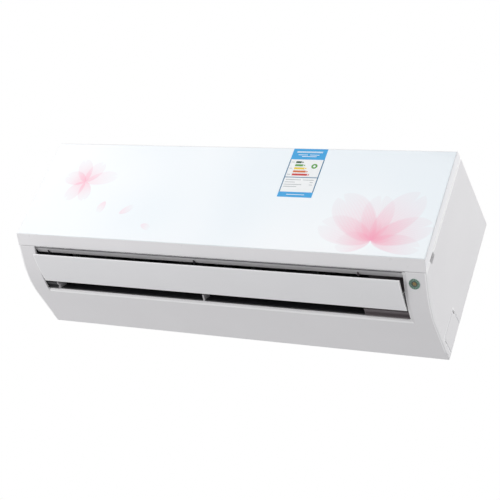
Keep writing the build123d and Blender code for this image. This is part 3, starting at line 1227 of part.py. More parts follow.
def frame_screws():
    """Screws that hold the casing, behind the front panel."""
    screws = []
    for side in (-1, 1):
        x = side * EAR_X
        head = bar((x, FRONT_Y - 0.8, EAR_Z), (0, 1, 0), 0.7, 3.8, 12)
        shank = bar((x, FRONT_Y - 0.2, EAR_Z), (0, 1, 0), 13.0, FRAME_SCREW_R)
        screws.append(fuse(head, shank))
    return Compound(children=screws)


def main():
    os.makedirs("parts", exist_ok=True)
    save("mounting_plate", mounting_plate())
    save("rear_chassis", rear_chassis())
    save("front_frame", front_frame())
    save("top_grille", top_grille())
    save("pipe_knockout_right", pipe_knockout(1))
    save("pipe_knockout_left", pipe_knockout(-1))
    save("front_panel", front_panel())
    save("panel_glass", panel_glass())
    save("main_louver", main_louver())
    save("louver_motor", louver_motor())
    save("outlet_duct", outlet_duct())
    for half, name in enumerate(("left", "right")):
        for index in range(VANES):
            save(f"vane_{name}_{index + 1}", vane(index, half))
        save(f"tie_bar_{name}", tie_bar(half))
    save("drain_pan", drain_pan())
    save("drain_spout", drain_spout())
    save("drain_plug", drain_plug())
    save("coil_front", fin_pack(COIL_FRONT, 1))
    save("coil_top", fin_pack(COIL_TOP, 1))
    save("coil_rear", fin_pack(COIL_REAR, 1))
    save("coil_end_plate_left", coil_end_plate(-1))
    save("coil_end_plate_right", coil_end_plate(1))
    save("return_bends_left", return_bends(-1))
    save("return_bends_right", return_bends(1))
    save("cross_flow_fan", cross_flow_fan())
    save("fan_stub_shaft", fan_stub_shaft())
    save("fan_bearing", fan_bearing())
    save("bearing_holder", bearing_holder())
    save("fan_motor", fan_motor())
    save("motor_shaft", motor_shaft())
    save("motor_rubber_rings", motor_rubber_rings())
    save("motor_clamp", motor_clamp())
    save("electrical_box", electrical_box())
    save("electrical_cover", electrical_cover())
    save("control_board", control_board())
    save("transformer", transformer())
    save("terminal_block", terminal_block())
    save("receiver_lens", receiver_lens())
    save("receiver_board", receiver_board())
    save("emergency_button", emergency_button())
    save("button_switch", button_switch())
    save("room_sensor", room_sensor())
    save("gas_pipe", gas_pipe())
    save("liquid_pipe", liquid_pipe())
    save("gas_union", gas_union())
    save("liquid_union", liquid_union())
    save("pipe_clamp", pipe_clamp())
    for (left, right), name in zip(FILTERS, ("left", "right")):
        save(f"air_filter_{name}", air_filter(left, right))
    save("frame_screws", frame_screws())


main()
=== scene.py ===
import json
import math

import bmesh
import bpy
from mathutils import Matrix, Vector


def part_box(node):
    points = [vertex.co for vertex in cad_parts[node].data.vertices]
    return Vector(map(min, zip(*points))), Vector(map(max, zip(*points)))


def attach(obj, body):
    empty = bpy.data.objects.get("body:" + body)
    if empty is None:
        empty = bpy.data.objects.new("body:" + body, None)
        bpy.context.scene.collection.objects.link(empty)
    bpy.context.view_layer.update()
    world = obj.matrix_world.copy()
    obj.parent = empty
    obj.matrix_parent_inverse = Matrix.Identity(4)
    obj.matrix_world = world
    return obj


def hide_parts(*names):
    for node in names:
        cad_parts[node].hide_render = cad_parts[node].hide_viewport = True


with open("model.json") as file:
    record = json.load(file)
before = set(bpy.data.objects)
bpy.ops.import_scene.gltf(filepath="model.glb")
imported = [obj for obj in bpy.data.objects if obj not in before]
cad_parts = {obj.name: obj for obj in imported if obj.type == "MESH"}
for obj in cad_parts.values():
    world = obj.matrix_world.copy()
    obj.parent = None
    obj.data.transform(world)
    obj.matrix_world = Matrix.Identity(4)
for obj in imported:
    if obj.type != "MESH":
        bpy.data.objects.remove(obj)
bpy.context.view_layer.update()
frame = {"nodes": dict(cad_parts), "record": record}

# Shapes and painted marks are in millimetres, with z from the casing's underside. Grain, bumps,
# lamps and the camera are in metres, with z from the middle of the wall-screw pattern.
MM = 0.001
DROP = 160.0             # height of that middle over the casing's underside
HALF = 400.0             # half the casing's width
DUCT_LEFT, MID_RIB, DUCT_RIGHT = -337.0, -27.0, 279.0     # walls of the air duct
LIP_FRONT, LIP_BACK = -102.2, -94.7    # chamfer along the outlet's lower edge, in y
SLOPE = math.radians(31.0)             # of the casing's front under the panel


# ---------------------------------------------------------------- materials
GRAIN_DEPTH = 0.00005    # of a moulded surface's grain, in metres
SHEET_DEPTH = 0.00004    # of the streaks and crystals on sheet metal, in metres


class Nodes:
    """Short-hand for building one material's node tree."""

    def __init__(self, name):
        self.material = bpy.data.materials.new(name)
        self.material.use_nodes = True
        self.tree = self.material.node_tree
        self.tree.nodes.clear()
        self.shader = self.add("ShaderNodeBsdfPrincipled")
        self.link(self.shader.outputs[0], self.add("ShaderNodeOutputMaterial").inputs["Surface"])
        self._place = None

    def add(self, kind, **settings):
        """A new node with the given properties."""
        node = self.tree.nodes.new(kind)
        for key, value in settings.items():
            setattr(node, key, value)
        return node

    def link(self, a, b):
        self.tree.links.new(a, b)

    def feed(self, socket, value):
        """Links an output to the socket, or sets the socket to a plain value."""
        if isinstance(value, bpy.types.NodeSocket):
            self.link(value, socket)
        else:
            socket.default_value = value

    def place(self):
        """The surface point in the piece's own coordinates, in metres."""
        if self._place is None:
            self._place = self.add("ShaderNodeTexCoord").outputs["Object"]
        return self._place

    def axes(self):
        """X, Y and Z of the surface point in millimetres, with z from the casing's underside."""
        split = self.add("ShaderNodeSeparateXYZ")
        self.link(self.place(), split.inputs[0])
        x, y, z = (self.math("DIVIDE", socket, MM) for socket in split.outputs)
        return x, y, self.math("ADD", z, DROP)

    def math(self, operation, a, b=0.0):
        node = self.add("ShaderNodeMath", operation=operation)
        self.feed(node.inputs[0], a)
        self.feed(node.inputs[1], b)
        return node.outputs[0]

    def above(self, value, limit):
        """1 where the value is over the limit."""
        return self.math("GREATER_THAN", value, limit)

    def below(self, value, limit):
        """1 where the value is under the limit."""
        return self.math("LESS_THAN", value, limit)

    def near(self, value, middle, reach):
        """1 where the value is less than the reach away from the middle."""
        return self.below(self.math("ABSOLUTE", self.math("SUBTRACT", value, middle)), reach)

    def within(self, value, low, high):
        """1 where the value lies between two limits."""
        return self.all_of(self.above(value, low), self.below(value, high))

    def all_of(self, *values):
        """1 where every value is 1."""
        result = values[0]
        for value in values[1:]:
            result = self.math("MULTIPLY", result, value)
        return result

    def scaled(self, size):
        """The surface point, stretched along each axis."""
        node = self.add("ShaderNodeMapping")
        self.link(self.place(), node.inputs["Vector"])
        node.inputs["Scale"].default_value = size
        return node.outputs[0]

    def noise(self, size, detail=2.0, rough=0.5, vector=None):
        """Smooth noise from 0 to 1; a larger size gives a finer pattern."""
        node = self.add("ShaderNodeTexNoise")
        self.link(vector or self.place(), node.inputs["Vector"])
        node.inputs["Scale"].default_value = size
        node.inputs["Detail"].default_value = detail
        node.inputs["Roughness"].default_value = rough
        return node.outputs["Fac"]

    def ramp(self, value, low, high, to_low=0.0, to_high=1.0):
        """The value, moved from one range to another and held inside the new one."""
        node = self.add("ShaderNodeMapRange")
        self.link(value, node.inputs["Value"])
        for key, number in zip(("From Min", "From Max", "To Min", "To Max"),
                               (low, high, to_low, to_high)):
            node.inputs[key].default_value = number
        return node.outputs[0]

    def mix(self, amount, a, b):
        """Colour a where the amount is 0 and colour b where it is 1."""
        node = self.add("ShaderNodeMix", data_type="RGBA")
        self.feed(node.inputs["Factor"], amount)
        self.feed(node.inputs["A"], a)
        self.feed(node.inputs["B"], b)
        return node.outputs["Result"]

    def bump(self, height, distance, strength=1.0, normal=None):
        """Relief of the given depth in metres, over the given normal; returns the new normal."""
        node = self.add("ShaderNodeBump")
        self.link(height, node.inputs["Height"])
        node.inputs["Distance"].default_value = distance
        node.inputs["Strength"].default_value = strength
        if normal is not None:
            self.link(normal, node.inputs["Normal"])
        self.link(node.outputs[0], self.shader.inputs["Normal"])
        return node.outputs[0]

    def soft_edges(self, radius):
        """Normal that rounds moulded edges off, with the radius in metres."""
        node = self.add("ShaderNodeBevel", samples=6)
        node.inputs["Radius"].default_value = radius
        return node.outputs[0]

    def set(self, **values):
        """Feeds the shader's sockets, such as Base_Color."""
        for key, value in values.items():
            self.feed(self.shader.inputs[key.replace("_", " ")], value)


def rgb(code):
    """Linear colour from a six-digit screen colour."""
    parts = [int(code[i:i + 2], 16) / 255 for i in (0, 2, 4)]
    linear = [c / 12.92 if c <= 0.04045 else ((c + 0.055) / 1.055) ** 2.4 for c in parts]
    return (*linear, 1.0)


def shade(colour, share):
    """The colour, made darker by a factor."""
    return tuple(c * share for c in colour[:3]) + (1.0,)


def moulded(name, colour, rough, grain):
    """Injection-moulded plastic: fine spark-eroded grain and slight tone drift."""
    n = Nodes(name)
    base = rgb(colour)
    n.set(Base_Color=n.mix(n.noise(9.0, 3.0), base, shade(base, 0.94)))
    n.set(Roughness=n.ramp(n.noise(60.0, 2.0), 0.1, 0.9, rough - 0.05, rough + 0.06))
    n.bump(n.noise(1500.0, 2.0, 0.6), GRAIN_DEPTH, grain)
    return n.material


def metal(name, colour, rough, streak=(40.0, 900.0, 900.0), depth=0.3):
    """Metal with drawn or rolled streaks along X."""
    n = Nodes(name)
    base = rgb(colour)
    along = n.noise(1.0, 3.0, 0.6, n.scaled(streak))
    n.set(Base_Color=n.mix(n.noise(35.0, 3.0), base, shade(base, 0.76)), Metallic=1.0)
    n.set(Roughness=n.ramp(along, 0.25, 0.75, rough - 0.08, rough + 0.1))
    n.bump(along, SHEET_DEPTH, depth)
    return n.material


def spangle(name):
    """Galvanised sheet with zinc crystals."""
    n = Nodes(name)
    cells = n.add("ShaderNodeTexVoronoi")
    n.link(n.place(), cells.inputs["Vector"])
    cells.inputs["Scale"].default_value = 170.0
    tone = n.ramp(cells.outputs["Color"], 0.0, 1.0, 0.0, 1.0)
    n.set(Base_Color=n.mix(tone, rgb("A9AEB2"), rgb("C9CDD0")), Metallic=1.0)
    n.set(Roughness=n.ramp(tone, 0.0, 1.0, 0.28, 0.45))
    n.bump(n.noise(700.0, 2.0), SHEET_DEPTH, 0.25)
    return n.material


def rubber(name, colour):
    """Matt rubber with a coarse, slightly mottled skin."""
    n = Nodes(name)
    base = rgb(colour)
    lighter = tuple(c * 1.5 + 0.01 for c in base[:3]) + (1.0,)
    n.set(Base_Color=n.mix(n.noise(45.0, 3.0), base, lighter), Roughness=0.72)
    n.bump(n.noise(1100.0, 3.0, 0.7), 0.00009, 0.5)
    return n.material


def fin_metal(name):
    """Edge-on aluminium fins: thin parallel lines across the coil, with painted shade in the darker
    bands between them.
    """
    n = Nodes(name)
    wave = n.add("ShaderNodeTexWave", wave_type="BANDS", bands_direction="X")
    n.link(n.place(), wave.inputs["Vector"])
    wave.inputs["Scale"].default_value = 120.0
    wave.inputs["Distortion"].default_value = 0.15
    # the dark end of the bands is painted shade between the fins
    tone = n.ramp(wave.outputs["Fac"], 0.2, 0.8)
    n.set(Base_Color=n.mix(tone, rgb("6F7478"), rgb("C8CCCF")), Metallic=0.9)
    n.set(Roughness=n.ramp(n.noise(50.0), 0.3, 0.7, 0.3, 0.45))
    n.bump(wave.outputs["Fac"], 0.0003, 0.6)
    return n.material


def circuit(name):
    """Green circuit board: solder mask with copper tracks under it."""
    n = Nodes(name)
    brick = n.add("ShaderNodeTexBrick", offset=0.37, squash=1.7, squash_frequency=3)
    turn = n.add("ShaderNodeMapping")
    n.link(n.place(), turn.inputs["Vector"])
    turn.inputs["Rotation"].default_value = (math.radians(90), 0.0, 0.0)
    n.link(turn.outputs[0], brick.inputs["Vector"])
    brick.inputs["Scale"].default_value = 160.0
    brick.inputs["Mortar Size"].default_value = 0.06
    brick.inputs["Color1"].default_value = rgb("0E5B35")
    brick.inputs["Color2"].default_value = rgb("12693D")
    brick.inputs["Mortar"].default_value = rgb("3C8F5B")
    n.set(Base_Color=brick.outputs["Color"])
    n.set(Roughness=n.ramp(n.noise(120.0), 0.3, 0.7, 0.25, 0.4))
    n.bump(brick.outputs["Fac"], 0.00005, 0.5)
    return n.material


def casing_skin(name, colour, rough, grain, edge, marks, relief=None):
    """Moulded plastic with rounded edges, a painted highlight along them, and the given marks.

    marks(n, x, y, z) yields masks with their colours, and relief(n, x, y) gives a height from
    0 to 1 and its depth in metres.
    """
    n = Nodes(name)
    x, y, z = n.axes()
    base = rgb(colour)
    tone = n.mix(n.noise(9.0, 3.0), base, shade(base, 0.94))
    for amount, paint in marks(n, x, y, z):
        tone = n.mix(amount, tone, rgb(paint))
    rounded = n.soft_edges(edge)
    flatness = n.add("ShaderNodeVectorMath", operation="DOT_PRODUCT")
    n.link(rounded, flatness.inputs[0])
    n.link(n.add("ShaderNodeNewGeometry").outputs["Normal"], flatness.inputs[1])
    # painted highlight along every edge, growing where the rounded normal turns away from the
    # face's own
    edge_highlight = n.ramp(flatness.outputs["Value"], 0.985, 0.88)
    n.set(Base_Color=n.mix(edge_highlight, tone, rgb("FFFFFF")))
    n.set(Roughness=n.ramp(n.noise(60.0, 2.0), 0.1, 0.9, rough - 0.05, rough + 0.06))
    if relief:
        rounded = n.bump(*relief(n, x, y), 1.0, rounded)
    n.bump(n.noise(1500.0, 2.0, 0.6), GRAIN_DEPTH, grain, rounded)
    return n.material


def outlet_lip(n, x, y):
    """Shallow chamfer along the outlet's lower edge, ending beside the opening."""
    opening, beyond, depth = 361.0, 365.0, 2.7
    slope = n.ramp(y, LIP_FRONT, LIP_BACK)
    beside = n.ramp(n.math("ABSOLUTE", x), opening, beyond)
    return n.math("MAXIMUM", slope, beside), depth * MM


def casing_marks(n, x, y, z):
    """Painted highlights along edges, a painted shadow line over the outlet, and the pipe
    knock-out's outline painted as light and shade.
    """
    size_x = n.math("ABSOLUTE", x)
    facing = n.add("ShaderNodeSeparateXYZ")
    n.link(n.add("ShaderNodeNewGeometry").outputs["Normal"], facing.inputs[0])
    downwards = n.below(facing.outputs["Z"], -0.15)
    # painted highlight along the outer part of the outlet lip's chamfer
    yield n.all_of(n.within(y, LIP_BACK - 4.2, LIP_BACK), n.below(z, 35.0),
                   n.below(size_x, 363.0)), "FFFFFF"

    # painted highlight: a strip along each end, over the underside and up to the panel
    front_low, ends = 47.5, n.above(size_x, HALF - 3.4)
    yield n.all_of(ends, downwards, n.below(y, -20.0)), "FFFFFF"
    yield n.all_of(ends, n.below(y, -183.6), n.above(z, front_low)), "FFFFFF"
    # painted shadow line along the seam over the outlet
    yield n.all_of(n.within(z, front_low, front_low + 2.0), n.below(y, -182.2),
                   n.below(size_x, 364.5)), "77767A"

    # the knock-out's outline, painted as a highlight line and a shade line, as the distance from
    # its middle; it is 8.6 mm less high than wide
    middle_y, middle_z, less_high = -12.0, 43.2, 4.3
    edge = n.math("MAXIMUM", n.math("ABSOLUTE", n.math("SUBTRACT", y, middle_y)),
                  n.math("ADD", n.math("ABSOLUTE", n.math("SUBTRACT", z, middle_z)), less_high))
    right = n.above(x, HALF - 1.5)
    yield n.all_of(right, n.within(edge, 33.0, 35.8)), "FFFFFF"
    yield n.all_of(right, n.within(edge, 31.8, 33.0)), "C2C2C5"
    # two slots, painted as dark shade rather than cut
    for slot_y, slot_z in ((-39.2, 69.4), (-35.0, 13.8)):
        yield n.all_of(right, n.near(y, slot_y, 4.2), n.near(z, slot_z, 1.1)), "2B2B2D"


def panel_marks(n, x, y, _):
    """Painted highlights: paler ends on the front panel, white at the back."""
    ends = n.above(n.math("ABSOLUTE", x), HALF - 1.0)
    yield ends, "F6F6F8"
    yield n.all_of(ends, n.above(y, -190.0)), "FFFFFF"


def louver_marks(n, x, y, _):
    """Painted highlight line along the louver's lower edge and ends."""
    lower_edge, middle_x, half_length = -122.6, -2.0, 357.7
    yield n.above(y, lower_edge), "FFFFFF"
    yield n.above(n.math("ABSOLUTE", n.math("SUBTRACT", x, middle_x)), half_length), "FFFFFF"


def duct_black():
    """Dark duct plastic; the outlet's right pocket and the walls' noses are a paler grey."""
    n = Nodes("duct black")
    x, y, z = n.axes()
    pocket = n.all_of(n.above(x, DUCT_RIGHT), n.below(y, -80.0))
    half_wall = 1.25
    walls = n.math("MAXIMUM", n.near(x, DUCT_LEFT - half_wall, 1.9), n.near(x, MID_RIB, 1.9))
    nose = n.all_of(walls, n.below(z, 30.0))
    dark = n.mix(n.noise(11.0, 3.0), rgb("1B1B1E"), rgb("26262A"))
    colour = n.mix(pocket, dark, rgb("5A5356"))
    n.set(Base_Color=n.mix(nose, colour, rgb("B4B2B4")))
    n.set(Roughness=n.ramp(n.noise(60.0, 2.0), 0.3, 0.7, 0.46, 0.56))
    n.bump(n.noise(1500.0, 2.0, 0.6), GRAIN_DEPTH, 0.5)
    return n.material


finishes = {
    "casing_plastic": casing_skin("casing white", "EDECED", 0.36, 0.25, 0.0022, casing_marks,
                                  outlet_lip),
    "panel_plastic": casing_skin("panel white", "F5F4F5", 0.3, 0.18, 0.0012, panel_marks),
    "panel_glass": moulded("glass white", "F6FBFD", 0.08, 0.0),
    "louver_plastic": casing_skin("louver white", "F3F3F4", 0.33, 0.2, 0.0012, louver_marks),
    "duct_plastic": duct_black(),
    "vane_plastic": moulded("vane black", "1D1D20", 0.45, 0.4),
    "chassis_plastic": moulded("chassis grey white", "DDDEDC", 0.5, 0.5),
    "fan_plastic": moulded("fan black", "2A2B2E", 0.42, 0.4),
    "pan_plastic": moulded("pan white", "E6E6E2", 0.48, 0.5),
    "fin_aluminium": fin_metal("coil fins"),
    "galvanised": spangle("galvanised sheet"),
    "steel": metal("bright steel", "B9BBBE", 0.25),
    "copper": metal("copper", "C4764E", 0.26),
    "brass": metal("brass", "C9A24E", 0.24),
    "bronze": metal("sintered bronze", "9A7442", 0.45, (600.0, 600.0, 600.0), 0.5),
    "rubber": rubber("black rubber", "202224"),
    "board": circuit("circuit board"),
    "terminal": moulded("terminal cream", "E3DFD2", 0.4, 0.3),
    "transformer": moulded("transformer yellow", "D9B23C", 0.45, 0.5),
    "lens": moulded("lens green", "2E7F6C", 0.12, 0.05),
    "button": moulded("button grey", "C9CBCE", 0.36, 0.3),
    "filter": moulded("filter grey", "4E545A", 0.5, 0.6),
    "sensor": moulded("sensor white", "E9E6DE", 0.45, 0.3),
    "painted": metal("painted steel", "8B9196", 0.4, (300.0, 300.0, 300.0), 0.4),
}

slot_of = {row["node"]: row["material_slot"] for row in frame["record"]["subparts"]}
for name, thing in frame["nodes"].items():
    thing.data.materials.clear()
    thing.data.materials.append(finishes[slot_of[name]])


# ---------------------------------------------------------------- building pieces
BLOCK_FACES = [(0, 1, 3, 2), (4, 6, 7, 5), (0, 4, 5, 1), (2, 3, 7, 6), (0, 2, 6, 4), (1, 5, 7, 3)]


class Mesh:
    """Collects the faces of one piece, in millimetres; paint is an index into its materials."""

    def __init__(self):
        self.points = []
        self.faces = []
        self.paints = []

    def add(self, points, faces, paint=0):
        """Adds faces, with one paint for all of them or a list with one for each."""
        base = len(self.points)
        self.points += [tuple(p) for p in points]
        self.faces += [tuple(base + i for i in face) for face in faces]
        self.paints += paint if isinstance(paint, list) else [paint] * len(faces)

    def block(self, x0, x1, y0, y1, z0, z1, paint=0):
        """Adds a box."""
        points = [(x, y, z) for x in (x0, x1) for y in (y0, y1) for z in (z0, z1)]
        self.add(points, BLOCK_FACES, paint)

    def prism(self, outline, x0, x1, paint=0):
        """Extrudes a closed (y, z) outline along X."""
        count = len(outline)
        points = [(x, y, z) for x in (x0, x1) for y, z in outline]
        sides = [(i, (i + 1) % count, count + (i + 1) % count, count + i) for i in range(count)]
        caps = [tuple(range(count))[::-1], tuple(range(count, 2 * count))]
        self.add(points, sides + caps, paint)

    def piece(self, name, body, node, materials, smooth=0):
        """Makes the object and hangs it on a body.

        node is the CAD node that it replaces, if any. Edges that turn by less than smooth, in
        degrees, are shaded smooth.
        """
        mesh = bpy.data.meshes.new(name)
        points = [(x * MM, y * MM, (z - DROP) * MM) for x, y, z in self.points]
        mesh.from_pydata(points, [], self.faces)
        for index, polygon in enumerate(mesh.polygons):
            polygon.material_index = self.paints[index]
        editable = bmesh.new()
        editable.from_mesh(mesh)
        bmesh.ops.recalc_face_normals(editable, faces=editable.faces)
        editable.to_mesh(mesh)
        editable.free()
        for material in materials:
            mesh.materials.append(material)
        thing = bpy.data.objects.new(name, mesh)
        bpy.context.scene.collection.objects.link(thing)
        if smooth:
            mesh.shade_smooth()
            mesh.set_sharp_from_angle(angle=math.radians(smooth))
        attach(thing, body)
        if node:
            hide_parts(node)


def limits(node):
    """Box of a CAD node in millimetres, with z from the casing's underside."""
    low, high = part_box(node)
    return [(a / MM + rise, b / MM + rise) for a, b, rise in zip(low, high, (0.0, 0.0, DROP))]


# ---------------------------------------------------------------- printed glass
def petal_group():
    """One translucent petal laid over a colour; it is placed in metres and turned in radians."""
    group = bpy.data.node_groups.new("petal", "ShaderNodeTree")
    sockets = group.interface
    for title, kind in (("Colour", "Color"), ("Place", "Vector"), ("Turn", "Float"),
                        ("Base X", "Float"), ("Base Z", "Float"), ("Length", "Float"),
                        ("Width", "Float"), ("Strength", "Float"), ("Lean", "Float")):
        sockets.new_socket(title, in_out="INPUT", socket_type="NodeSocket" + kind)
    sockets.new_socket("Colour", in_out="OUTPUT", socket_type="NodeSocketColor")
    nodes, links = group.nodes, group.links
    given = nodes.new("NodeGroupInput").outputs
    result = nodes.new("NodeGroupOutput")

    def feed(socket, value):
        if isinstance(value, bpy.types.NodeSocket):
            links.new(value, socket)
        else:
            socket.default_value = value

    def do(operation, a, b=0.0, clamp=False):
        node = nodes.new("ShaderNodeMath")
        node.operation = operation
        node.use_clamp = clamp
        feed(node.inputs[0], a)
        feed(node.inputs[1], b)
        return node.outputs[0]

    def fade(value, low, high):
        node = nodes.new("ShaderNodeMapRange")
        node.interpolation_type = "SMOOTHSTEP"
        feed(node.inputs["Value"], value)
        feed(node.inputs["From Min"], low)
        feed(node.inputs["From Max"], high)
        return node.outputs[0]

    def blend(amount, a, b):
        node = nodes.new("ShaderNodeMix")
        node.data_type = "RGBA"
        feed(node.inputs["Factor"], amount)
        feed(node.inputs["A"], a)
        feed(node.inputs["B"], b)
        return node.outputs["Result"]

    # u runs from the petal's foot to its tip, and v across it, in lengths and half widths
    split = nodes.new("ShaderNodeSeparateXYZ")
    links.new(given["Place"], split.inputs[0])
    dx = do("SUBTRACT", split.outputs["X"], given["Base X"])
    dz = do("SUBTRACT", split.outputs["Z"], given["Base Z"])
    cosine = do("COSINE", given["Turn"])
    sine = do("SINE", given["Turn"])
    along = do("ADD", do("MULTIPLY", dx, cosine), do("MULTIPLY", dz, sine))
    across = do("SUBTRACT", do("MULTIPLY", dz, cosine), do("MULTIPLY", dx, sine))
    u = do("DIVIDE", along, given["Length"])
    lean = do("MULTIPLY", given["Lean"], do("MULTIPLY", u, u))
    v = do("SUBTRACT", do("DIVIDE", across, given["Width"]), lean)

    # the outline widens towards the tip, which has a notch in it
    inside_u = do("MULTIPLY", u, do("SUBTRACT", 1.0, u))
    bulge = do("POWER", do("MAXIMUM", do("MULTIPLY", inside_u, 4.0), 0.0), 0.5)
    width = do("MULTIPLY", bulge, do("ADD", 0.78, do("MULTIPLY", u, 0.34)))
    notch = do("MULTIPLY", do("POWER", do("MAXIMUM", u, 0.0), 9.0), 0.5)
    size_v = do("ABSOLUTE", v)
    edge = do("SUBTRACT", width, size_v)
    cut = do("SUBTRACT", notch, do("MULTIPLY", size_v, 2.2))
    inside = do("MULTIPLY", fade(edge, 0.0, 0.16), do("SUBTRACT", 1.0, fade(cut, 0.0, 0.2)))

    # veins fan out from the foot, and a rim follows the outline
    share = do("DIVIDE", v, do("MAXIMUM", width, 0.05))
    fan_out = do("ADD", do("MULTIPLY", share, 42.0), do("MULTIPLY", u, 9.0))
    vein = do("POWER", do("ADD", do("MULTIPLY", do("COSINE", fan_out), 0.5), 0.5), 3.0)
    rim = do("MULTIPLY", fade(edge, 0.0, 0.05), do("SUBTRACT", 1.0, fade(edge, 0.05, 0.13)))
    lines = do("ADD", do("MULTIPLY", vein, 0.08), do("MULTIPLY", rim, 0.2))

    # the ink is strongest, and pinkest, at the foot
    from_tip = do("SUBTRACT", 1.0, do("MINIMUM", do("MAXIMUM", u, 0.0), 1.0))
    depth = do("POWER", from_tip, 1.15)
    body = do("ADD", 0.2, do("MULTIPLY", depth, 0.26))
    ink = do("MULTIPLY", do("ADD", body, lines), inside)
    cover = do("MULTIPLY", ink, given["Strength"], clamp=True)
    pink = blend(do("MULTIPLY", depth, 1.5, clamp=True), rgb("E6DAE0"), rgb("F98BAD"))
    links.new(blend(cover, given["Colour"], pink), result.inputs["Colour"])
    return group


def blossom(x, z, size, petals, strength):
    """Petals of one flower, from rows of turn, length, width, strength and lean."""
    return [(x, z, turn, size * length, size * width, strength * share, lean)
            for turn, length, width, share, lean in petals]


# x, z, turn in degrees, length, half width, strength and lean of each petal; the last three
# have come loose from their flower
PETALS = blossom(300, 90, 100, (
    (160, 1.02, 0.3, 0.7, 0.25), (92, 0.9, 0.3, 0.7, 0.0), (130, 1.16, 0.36, 0.85, 0.12),
    (58, 1.16, 0.34, 0.8, -0.12), (24, 1.04, 0.28, 0.95, -0.25), (184, 0.6, 0.22, 0.7, 0.3),
    (-3, 0.86, 0.2, 0.8, -0.25), (110, 0.5, 0.24, 0.7, 0.2), (44, 0.46, 0.22, 0.7, -0.2)), 1.0)
PETALS += blossom(-300, 184, 62, (
    (160, 0.8, 0.28, 1.0, 0.3), (112, 0.9, 0.27, 0.9, 0.1), (64, 0.82, 0.28, 0.8, -0.1),
    (18, 1.1, 0.26, 0.6, -0.3), (232, 0.8, 0.27, 0.85, 0.2), (292, 0.72, 0.24, 0.9, -0.2)), 0.9)
PETALS += [(-236, 142, 250, 26, 9, 0.55, 0.3), (-196, 118, 30, 30, 8, 0.5, 0.4),
           (-140, 96, 345, 22, 7, 0.42, -0.3)]


def printed_glass():
    """White back-painted glass with a pale blossom print."""
    n = Nodes("printed glass")
    group = petal_group()
    colour = n.mix(n.ramp(n.noise(3.2, 1.0), 0.35, 0.65), rgb("FBFDFE"), rgb("EFF6FA"))
    for x, z, turn, length, width, strength, lean in PETALS:
        petal = n.add("ShaderNodeGroup", node_tree=group)
        n.link(colour, petal.inputs["Colour"])
        n.link(n.place(), petal.inputs["Place"])
        for title, value in (("Turn", math.radians(turn)), ("Base X", x * MM),
                             ("Base Z", (z - DROP) * MM), ("Length", length * MM),
                             ("Width", width * MM), ("Strength", strength), ("Lean", lean)):
            petal.inputs[title].default_value = value
        colour = petal.outputs["Colour"]
    n.set(Base_Color=colour, Roughness=0.16, Coat_Weight=0.6, Coat_Roughness=0.04)
    n.bump(n.noise(18.0, 1.0), 0.0003, 0.08)
    return n.material


STICKER_ROOM = 0.2       # from the glass to the front of its box in the CAD


def glass_face():
    """Printed sheet with a rounded front edge; returns the y of its face."""
    (x0, x1), (y0, y1), (z0, z1) = limits("panel_glass")
    front = y0 + STICKER_ROOM
    bevel, half_way = 1.0, 0.3
    rings = [(0.0, y1), (0.0, front + bevel), (half_way, front + half_way), (bevel, front)]
    points = []
    for inset, y in rings:
        points += [(x0 + inset, y, z0 + inset), (x1 - inset, y, z0 + inset),
                   (x1 - inset, y, z1 - inset), (x0 + inset, y, z1 - inset)]
    faces = [(0, 1, 2, 3), (15, 14, 13, 12)]
    for i in range(len(rings) - 1):
        for j in range(4):
            a, b = 4 * i + j, 4 * i + (j + 1) % 4
            faces.append((a, b, b + 4, a + 4))
    pane = Mesh()
    pane.add(points, faces)
    pane.piece("printed_glass_face", "panel", "panel_glass", [printed_glass()], 20)
    return front


def paper(name, colour):
    """Printed vinyl: flat colour with faint mottling and a satin surface."""
    n = Nodes(name)
    base = rgb(colour)
    n.set(Base_Color=n.mix(n.noise(160.0, 3.0), base, shade(base, 0.93)), Roughness=0.3)
    n.bump(n.noise(900.0, 2.0), 0.00002, 0.3)
    return n.material


INKS = {"white": "FBFDFD", "blue": "23A6E6", "frame": "2C6F96", "dark green": "0C4A22",
        "green": "57A03A", "yellow": "F0D02C", "orange": "D9692C", "red": "CF1F1D",
        "grey": "A9AFB2", "pale": "F4FAFD"}
# printed lines as x0, x1 and z on the sticker, in place of its words
PALE_LINES = ((8, 57, 97), (8, 57, 95.2), (12, 30, 90), (34, 52, 90), (20, 48, 86.5), (16, 50, 5.5))
GREY_LINES = ((5, 34, 36.5), (38, 58, 36.5), (5, 24, 31.5), (52, 58, 31.5), (5, 38, 26.5),
              (52, 58, 26.5), (5, 30, 22), (4, 10, 74), (4, 9, 60.8), (3.4, 10, 47.6))


